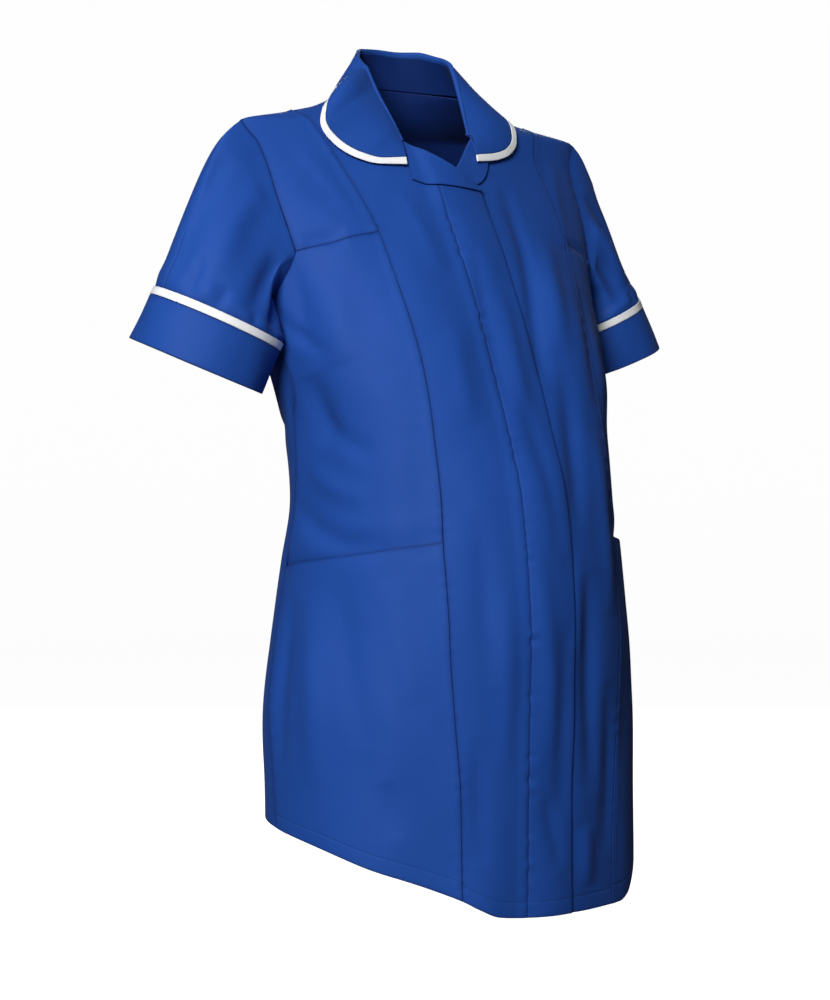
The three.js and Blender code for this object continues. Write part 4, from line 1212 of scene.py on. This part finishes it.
def armhole(side, ring):
    """Places round the armhole: down the front to the underarm and up the back."""
    front = ease_out(arm_front(side), SHOULDER_POINT_Z, BUST_ARM_Z)(ring / CHEST_ROWS)
    under = ease_out(arm_front(side), UNDERARM_Z, BUST_ARM_Z)(
        1 - (ring - CHEST_ROWS) / UNDERARM_ROWS)
    behind = ease_both(arm_back(side), UNDERARM_Z, SHOULDER_POINT_Z)((ring - ARM_ROWS) / ARM_ROWS)
    return np.where((ring < CHEST_ROWS)[:, None], front,
                    np.where((ring < ARM_ROWS)[:, None], under, behind))


def sleeve_surface(side, inset):
    def point_at(share, t):
        """Points round the sleeve (share 0 to 1 of a turn) and down it (t 0 to 1)."""
        places = armhole(side, (share % 1.0) * 2 * ARM_ROWS)
        start = form_point(places) + form_normal(places) * drape(places)[:, None]
        angle = 2 * np.pi * share
        low = ((1 - np.cos(angle)) / 2)[:, None]
        end = cuff_point(side, angle, 0, inset)
        out = unit(mix(SLEEVE_START_SHOULDER, SLEEVE_START_UNDERARM, low)) * [side, 1, 1]
        reach = np.linalg.norm(end - start, axis=-1, keepdims=True) * SLEEVE_PULL
        axis = unit(cuff_point(side, 0, CUFF_DEPTH, 0) - cuff_point(side, 0, 0, 0))
        t = t[:, None, None]
        rest = 1 - t
        return (start * (1 + 2 * t) * rest * rest + out * reach * t * rest * rest
                + end * t * t * (3 - 2 * t) - axis * reach * t * t * rest)
    return point_at


def nudged_normals(point_at, u, v, outside):
    """Unit normals of a surface, turned to the side that outside is on."""
    step = 2e-3
    across = point_at(u + step, v) - point_at(u - step, v)
    up = point_at(u, v + step) - point_at(u, v - step)
    normal = unit(np.cross(across, up))
    facing = np.einsum("ijk,ijk->", normal, outside)
    return normal if facing > 0 else -normal


# Lines of (angle round the sleeve in degrees, 0 outermost and 90 in front; share of its
# length), each with its depth and width.
SLEEVE_CREASES = {
    "right": [([(150, 0.06), (128, 0.35), (118, 0.75), (112, 1.0)], -3.0, 9),
              ([(62, 0.1), (56, 0.45), (46, 0.86)], 2.3, 12),
              ([(28, 0.22), (20, 0.5), (14, 0.93)], -2.3, 10),
              ([(98, 0.2), (96, 0.5), (86, 0.95)], -3.0, 10),
              ([(34, 0.76), (30, 0.99)], -1.5, 4.5), ([(47, 0.84), (45, 1.0)], 0.9, 4),
              ([(62, 0.82), (58, 1.0)], -1.3, 4.5), ([(93, 0.86), (92, 1.0)], -1.0, 4),
              ([(200, 0.12), (215, 0.5), (220, 0.9)], -2.4, 11),
              ([(262, 0.2), (252, 0.55), (250, 0.95)], 1.8, 13),
              ([(300, 0.82), (304, 1.0)], -1.2, 5), ([(236, 0.8), (232, 1.0)], -1.2, 5)],
    "left": [([(146, 0.08), (124, 0.4), (116, 0.95)], -2.6, 10),
             ([(76, 0.12), (70, 0.45), (66, 0.8)], 1.9, 9),
             ([(56, 0.15), (50, 0.5), (45, 0.92)], -2.2, 9),
             ([(97, 0.2), (91, 0.5), (88, 0.9)], -2.0, 8),
             ([(20, 0.3), (8, 0.7), (6, 0.97)], -1.6, 10),
             ([(40, 0.8), (37, 1.0)], -1.3, 5), ([(70, 0.84), (67, 1.0)], -1.2, 4.5),
             ([(204, 0.1), (219, 0.55), (222, 0.93)], -2.4, 11),
             ([(258, 0.22), (249, 0.6), (246, 0.96)], 1.8, 13),
             ([(296, 0.84), (300, 1.0)], -1.2, 5), ([(228, 0.82), (224, 1.0)], -1.1, 5)],
}


SLEEVE_CREASE_DEEPER, SLEEVE_CREASE_WIDER = 2.1, 1.3
SLEEVE_TUCK_STEPS = (1.5, 4, SLEEVE_TUCK)
OVER_TRIM, OVER_TRIM_AT, OVER_TRIM_REACH = 1.5, 11, 9    # the sleeve's fullness above its trim
TRIM_GATHER, HEAD_GATHER = 0.45, 0.3


def make_sleeve(side, name):
    point_at = sleeve_surface(side, SLEEVE_INSET)
    shares, lengths = measure(point_at, True, other=0.15)
    length = lengths[-1]
    down = Stations(length, 2.6, "seam", "plain")
    t = np.interp(down.at, lengths, shares)
    share = np.linspace(0, 1, TUBE_STEPS)
    base = point_at(share, t)
    middle = base.mean(axis=1, keepdims=True)
    normal = nudged_normals(point_at, share, np.clip(t, 2.1e-3, 1 - 2.1e-3), base - middle)
    press = np.zeros(base.shape[:2])
    for points, depth, width in SLEEVE_CREASES[name]:
        line = [point_at(np.array([a / 360]), np.array([s]))[0, 0] for a, s in points]
        press = press + Crease(line, SLEEVE_CREASE_DEEPER * depth,
                                SLEEVE_CREASE_WIDER * width).press(base)
    left = (length - down.at)[:, None]
    free = ramp(down.at, 1, 30)[:, None]
    press = press * free + free * (BROAD(base) + 0.5 * MIDDLING(base)) * ramp(left, 0, 25)
    press = press + OVER_TRIM * np.exp(-((left - OVER_TRIM_AT) / OVER_TRIM_REACH) ** 2)
    ring = np.degrees(2 * np.pi * share)[None] * 1.1
    press = press + TRIM_GATHER * Pucker(f"trim_{name}", 5, 12)(ring) * np.exp(
        -(left / 12) ** 1.5)
    press = press + HEAD_GATHER * Pucker(f"head_{name}", 8, 20)(ring) * np.exp(
        -((down.at[:, None] - 3) / 6) ** 2)
    seam_normal = form_normal(armhole(side, (share % 1.0) * 2 * ARM_ROWS))
    grid = base + normal * press[..., None] + seam_normal[None] * down.roll[:, None, None]
    tuck = [cuff_point(side, 2 * np.pi * share, d, SLEEVE_INSET) for d in SLEEVE_TUCK_STEPS]
    grid = np.concatenate([grid, np.array(tuck)])
    outward = np.concatenate([normal, np.repeat(normal[-1:], len(tuck), axis=0)])
    nearest = np.concatenate([np.minimum(down.at, length - down.at), np.zeros(len(tuck))])
    painted_shade = np.broadcast_to(np.exp(-nearest / SEAM_SHADE_REACH)[:, None], grid.shape[:2])
    piece(f"sleeve_{name}_cloth", f"sleeve_{name}", grid, outward, painted_shade, "hung", weld=True,
          rests_on=["back_cloth", f"side_front_upper_{name}_cloth"])


def make_band(side, name, title, start, end, edges, slot, lift, fold, thickness, turn_under):
    share = np.linspace(0, 1, TUBE_STEPS)
    down = Stations(end - start, 2.4, *edges, fold=fold, turn_under=turn_under, turn_in=0.6)
    point_at = lambda u, d: cuff_point(side, 2 * np.pi * u[None], start + d[:, None], 0)
    base = point_at(share, down.at)
    out = base - base.mean(axis=1, keepdims=True)
    normal = nudged_normals(point_at, share, down.at, out)
    ripple = 0.5 * SMALL(base) + 0.5 * BROAD(base)
    offset = lift + down.fold + down.roll
    grid = base + normal * (offset[:, None] + ripple)[..., None]
    nearest = np.minimum(down.at, end - start - down.at)
    painted_shade = np.broadcast_to(np.exp(-nearest / 2)[:, None], grid.shape[:2])
    piece(f"{title}_{name}_cloth", f"{title}_{name}", grid, normal, painted_shade, "folded",
          thickness=thickness, slot=slot, weld=True, rests_on=[f"sleeve_{name}_cloth"])


# ---- collar ----
EDGE_PARTS = np.array([-row[0] for row in COLLAR_HALF[1][:0:-1]]
                      + [row[0] for row in COLLAR_HALF[1]])


def collar_edge(side):
    """Curves of the leaf's edge and of the form's normal under it: x, y and z of each."""
    half = COLLAR[side]
    under = place(side * half["edge_turn"](EDGE_PARTS), half["edge_z"](EDGE_PARTS))
    normal = form_normal(under)
    edge = form_point(under) + normal * half["edge_lift"](EDGE_PARTS)[:, None]
    return [Curve(EDGE_PARTS, column) for column in (*edge.T, *normal.T)]


COLLAR_EDGE = {side: collar_edge(side) for side, _ in SIDES}


def of_half(along_collar, column):
    """A column of the collar's tables, each place taken from its own half."""
    right, left = (COLLAR[side][column](np.abs(along_collar)) for side, _ in SIDES)
    return np.where(along_collar < 0, right, left)


class Collar:
    """The collar's middle surface, from the neck seam over the fold to the leaf's edge."""

    def __init__(self, along_collar):
        part = np.abs(along_collar)
        side = np.where(along_collar < 0, -1.0, 1.0)
        right, left = (np.stack([curve(part) for curve in COLLAR_EDGE[k]], -1) for k in (-1, 1))
        edge = np.where((along_collar < 0)[:, None], right, left)
        leaf_normal = unit(edge[:, 3:])
        neck = form_point(place(side * of_half(along_collar, "seam_turn"),
                                of_half(along_collar, "seam_z")))
        self.fold = self.fold_at(along_collar)
        reach = mix(*SEAM_REACH, ramp(part, 0.3, 0.5))
        share = reach / np.linalg.norm(neck - self.fold, axis=-1)
        self.seam = mix(neck, self.fold, share[:, None])
        self.edge = edge[:, :3]
        self.out = unit((self.fold - NECK_AXIS) * [1, 1, 0])
        run = self.fold_at(along_collar + 0.01) - self.fold_at(along_collar - 0.01)
        rise = unit(np.cross(self.out, run))
        height = np.einsum("ij,ij->i", rise, 2 * self.fold - self.seam - self.edge)
        self.rise = rise * np.sign(height)[:, None]
        self.stand_top, self.leaf_top = self.bend(-90), self.bend(90)
        self.middle = (self.leaf_top + self.edge) / 2 + leaf_normal * of_half(
            along_collar, "bulge")[:, None]
        self.trim_share = 1 - COLLAR_TRIM_DEPTH / np.linalg.norm(
            self.leaf_top - self.edge, axis=-1)

    @staticmethod
    def fold_at(along_collar):
        along_collar = np.clip(along_collar, -1, 1)
        x, y, z = (of_half(along_collar, name) for name in ("fold_x", "fold_y", "fold_z"))
        return np.stack([np.where(along_collar < 0, -x, x), y, z], -1)

    def bend(self, degrees):
        angle = np.radians(degrees)
        return (self.fold + self.rise * (COLLAR_FOLD_RADIUS * (np.cos(angle) - 1))
                + self.out * (COLLAR_FOLD_RADIUS * np.sin(angle)))

    def leaf(self, t):
        """Points on the leaf; t has a row for each place along the collar."""
        t = t[..., None]
        return (self.leaf_top[:, None] * (2 * (t - 0.5) * (t - 1))
                - self.middle[:, None] * (4 * t * (t - 1))
                + self.edge[:, None] * (2 * t * (t - 0.5)))

    def cloth(self, w):
        """Stand for w 0 to 1, fold for 1 to 2, leaf for 2 to 3."""
        stand = mix(self.seam[:, None], self.stand_top[:, None], np.clip(w, -1, 1)[None, :, None])
        bent = np.stack([self.bend(mix(-90, 90, x)) for x in w - 1], axis=1)
        leaf = self.leaf(np.maximum(w - 2, 0)[None] * self.trim_share[:, None])
        return np.where((w < 1)[None, :, None], stand,
                        np.where((w < 2)[None, :, None], bent, leaf))

    def trim(self, w):
        gap = SEAM_GAP / COLLAR_TRIM_DEPTH * (1 - self.trim_share)
        start = self.trim_share + 0.3 * gap
        return self.leaf(mix(start[:, None], 1, w[None]))


def collar_grid(kind, along_stations, across_stations):
    middle = measure_collar(kind)
    w = np.interp(across_stations.at, middle[1], middle[0])
    where_at = along_stations
    point_at = lambda a, b: getattr(Collar(a), kind)(b)
    step = 2e-3
    along_step = point_at(np.clip(where_at + step, -1, 1), w) - point_at(
        np.clip(where_at - step, -1, 1), w)
    high = 3 if kind == "cloth" else 1
    across_step = point_at(where_at, np.clip(w + step, 0, high)) - point_at(
        where_at, np.clip(w - step, 0, high))
    base = point_at(where_at, w)
    normal = unit(np.cross(across_step, along_step))
    leaf = normal[len(normal) // 2, -2] @ (base[len(base) // 2, -2] - NECK_AXIS)
    return base, normal if leaf > 0 else -normal


def measure_collar(kind):
    shares = np.linspace(0, 3 if kind == "cloth" else 1, 1200)
    points = getattr(Collar(np.array([0.25])), kind)(shares)[0]
    steps = np.linalg.norm(np.diff(points, axis=0), axis=1)
    return shares, np.concatenate([[0], np.cumsum(steps)])


def make_collar():
    ends = np.array([0, 0.0006, 0.002, 0.004, 0.008, 0.016])
    run = np.concatenate([-1 + ends, np.linspace(-0.975, 0.975, 211), 1 - ends[::-1]])
    end_roll = 0.6 - np.sqrt(0.36 - np.maximum(0.6 - 235 * (1 - np.abs(run)), 0) ** 2)
    for kind, node, slot, edges, thickness in (
            ("cloth", "collar", "blue_cloth", ("seam", "seam"), BAND),
            ("trim", "collar_trim", "white_trim", ("turned", "turned"), BAND + TRIM_EXTRA)):
        shares, lengths = measure_collar(kind)
        near = ()
        if kind == "cloth":
            fold_start, fold_end = np.interp([1, 2], shares, lengths)
            near = np.linspace(fold_start - 1, fold_end + 1, 13)
        across = Stations(lengths[-1], 2.2, *edges, turn_in=0.3, near=near)
        base, normal = collar_grid(kind, run, across)
        ripple = 0.55 * SMALL(base * 0.8) + 0.5 * BROAD(base)
        offset = thickness / 2 + across.roll[None] - end_roll[:, None] + ripple * 0.7
        grid = base + normal * offset[..., None]
        nearest = np.minimum(across.at, lengths[-1] - across.at)
        # Painted shade on the inside of the stand, inside the neck.
        inside = STAND_SHADE * (across.at < fold_start - 1) if kind == "cloth" else 0
        painted_shade = np.broadcast_to(np.maximum(np.exp(-nearest / 1.5), inside)[None],
                                    grid.shape[:2])
        piece(f"{node}_cloth", node, grid, normal, painted_shade, "folded", thickness=thickness, slot=slot,
              rests_on=["back_cloth", "centre_front_right_cloth", "centre_front_left_cloth"])


# ---- topstitching ----
STITCH_PITCH, STITCH_LENGTH, STITCH_RADIUS = 3.1, 2.3, 0.24


def stitch_lines(name, runs):
    """Short stitches along each run of points, half sunk in the cloth."""
    bm = bmesh.new()
    for points in runs:
        steps = np.linalg.norm(np.diff(points, axis=0), axis=1)
        reached = np.concatenate([[0], np.cumsum(steps)])
        for middle in np.arange(STITCH_PITCH, reached[-1] - STITCH_PITCH, STITCH_PITCH):
            spot, start, end = ([float(np.interp(middle + shift, reached, axis)) for axis in points.T]
                                for shift in (0, -STITCH_LENGTH / 2, STITCH_LENGTH / 2))
            forward = (Vector(end) - Vector(start)).normalized()
            turned = forward.to_track_quat("X", "Z").to_matrix().to_4x4()
            sizes = (STITCH_LENGTH / 2, STITCH_RADIUS, STITCH_RADIUS)
            at = Matrix.Translation(Vector(spot) * MM) @ turned @ Matrix.Diagonal(
                [*(size * MM for size in sizes), 1])
            bmesh.ops.create_uvsphere(bm, u_segments=6, v_segments=4, radius=1, matrix=at)
    mesh = bpy.data.meshes.new(name)
    bm.to_mesh(mesh)
    bm.free()
    mesh.shade_smooth()
    mesh.materials.append(THREAD)
    stitches = bpy.data.objects.new(name, mesh)
    bpy.context.scene.collection.objects.link(stitches)
    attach(stitches, "root")


# ---- studio ----
FLOOR_Z, FLOOR_FLAT, COVE_START, COVE_RADIUS, WALL_TOP_Z = -0.95, 2.5, 5.0, 2.2, 5.0
LENS, SENSOR_WIDTH = 102.06, 36
CAMERA_AT, CAMERA_AIM = (-1.663, -2.128, -0.313), (0.0053, -0.0041, -0.397)
TUNIC_MIDDLE = (0, -0.05, -0.4)
LIGHTS = (      # name, place, width in metres, watts
    ("key", (-2.4, -1.8, 1.0), 1.1, 112), ("fill", (-1.0, -3.0, -0.1), 2.0, 6),
    ("back", (1.9, 2.4, 0.4), 1.8, 56), ("top", (-0.6, 0.1, 2.3), 1.4, 6))
AIR_STRENGTH = 0.04


def make_dish():
    """A round pale floor whose rim curves up all round."""
    bm = bmesh.new()
    cove = [(COVE_START + COVE_RADIUS * math.sin(a), FLOOR_Z + COVE_RADIUS * (1 - math.cos(a)))
            for a in np.linspace(0, math.pi / 2, 13)]
    profile = [(0.0, FLOOR_Z), (FLOOR_FLAT, FLOOR_Z), *cove,
               (COVE_START + COVE_RADIUS, WALL_TOP_Z)]
    spots = [bm.verts.new((x, 0, z)) for x, z in profile]
    edges = [bm.edges.new(pair) for pair in zip(spots, spots[1:])]
    bmesh.ops.spin(bm, geom=spots + edges, axis=(0, 0, 1), cent=(0, 0, 0), angle=2 * math.pi,
                   steps=96, use_merge=True)
    bmesh.ops.remove_doubles(bm, verts=bm.verts, dist=1e-4)
    mesh = bpy.data.meshes.new("studio floor")
    bm.to_mesh(mesh)
    bm.free()
    mesh.shade_smooth()
    paint = Finish("pale studio paint")
    mesh.materials.append(paint.shade({
        "Base Color": (0.25, 0.25, 0.25, 1), "Roughness": 0.9,
        "Emission Color": (1, 1, 1, 1), "Emission Strength": 0.95}))
    floor = bpy.data.objects.new("studio_floor", mesh)
    bpy.context.scene.collection.objects.link(floor)
    floor.visible_diffuse = False
    floor.visible_glossy = False


def light(name, where, aim, size, watts):
    lamp = bpy.data.lights.new(name, "AREA")
    lamp.shape = "DISK"
    lamp.size = size
    lamp.energy = watts
    stand = bpy.data.objects.new(name, lamp)
    bpy.context.scene.collection.objects.link(stand)
    stand.location = where
    stand.rotation_mode = "QUATERNION"
    stand.rotation_quaternion = (Vector(aim) - Vector(where)).to_track_quat("-Z", "Y")


def make_studio():
    scene = bpy.context.scene
    camera = bpy.data.cameras.new("studio camera")
    camera.lens, camera.sensor_width = LENS, SENSOR_WIDTH
    camera.clip_start, camera.clip_end = 0.1, 40
    stand = bpy.data.objects.new("studio_camera", camera)
    scene.collection.objects.link(stand)
    stand.location = CAMERA_AT
    stand.rotation_mode = "QUATERNION"
    stand.rotation_quaternion = (Vector(CAMERA_AIM) - stand.location).to_track_quat("-Z", "Y")
    scene.camera = stand
    scene.view_settings.view_transform = "Standard"
    world = bpy.data.worlds.new("studio air")
    world.use_nodes = True
    air = world.node_tree.nodes["Background"].inputs
    air["Color"].default_value = (1, 1, 1, 1)
    air["Strength"].default_value = AIR_STRENGTH
    scene.world = world
    for name, where, size, watts in LIGHTS:
        light(name, where, TUNIC_MIDDLE, size, watts)
    make_dish()


make_studio()
make_back()
make_facing()
for side, name in SIDES:
    make_centre_front(side, name)
    make_side_front_upper(side, name)
    make_side_front_lower(side, name)
    make_pocket(side, name)
    make_lapel(side, name)
    make_sleeve(side, name)
    make_band(side, name, "cuff_trim", 0, CUFF_TRIM_DEPTH - 0.1, ("turned", "turned"),
              "white_trim", 0.15, 0, 1.3, 0)
    make_band(side, name, "cuff", CUFF_TRIM_DEPTH + 0.1, CUFF_TRIM_DEPTH + CUFF_DEPTH,
              ("seam", "fold"), "blue_cloth", 0, CUFF_FOLD, CLOTH, CUFF_DEPTH - 4)
make_collar()
for name, runs in lines.items():
    stitch_lines(f"{name}_topstitching", runs)

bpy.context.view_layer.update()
for name, (width, length, area) in sorted(made.items()):
    print(f"sheet {name}: {width:.3f} x {length:.3f} m, {area:.4f} m2")
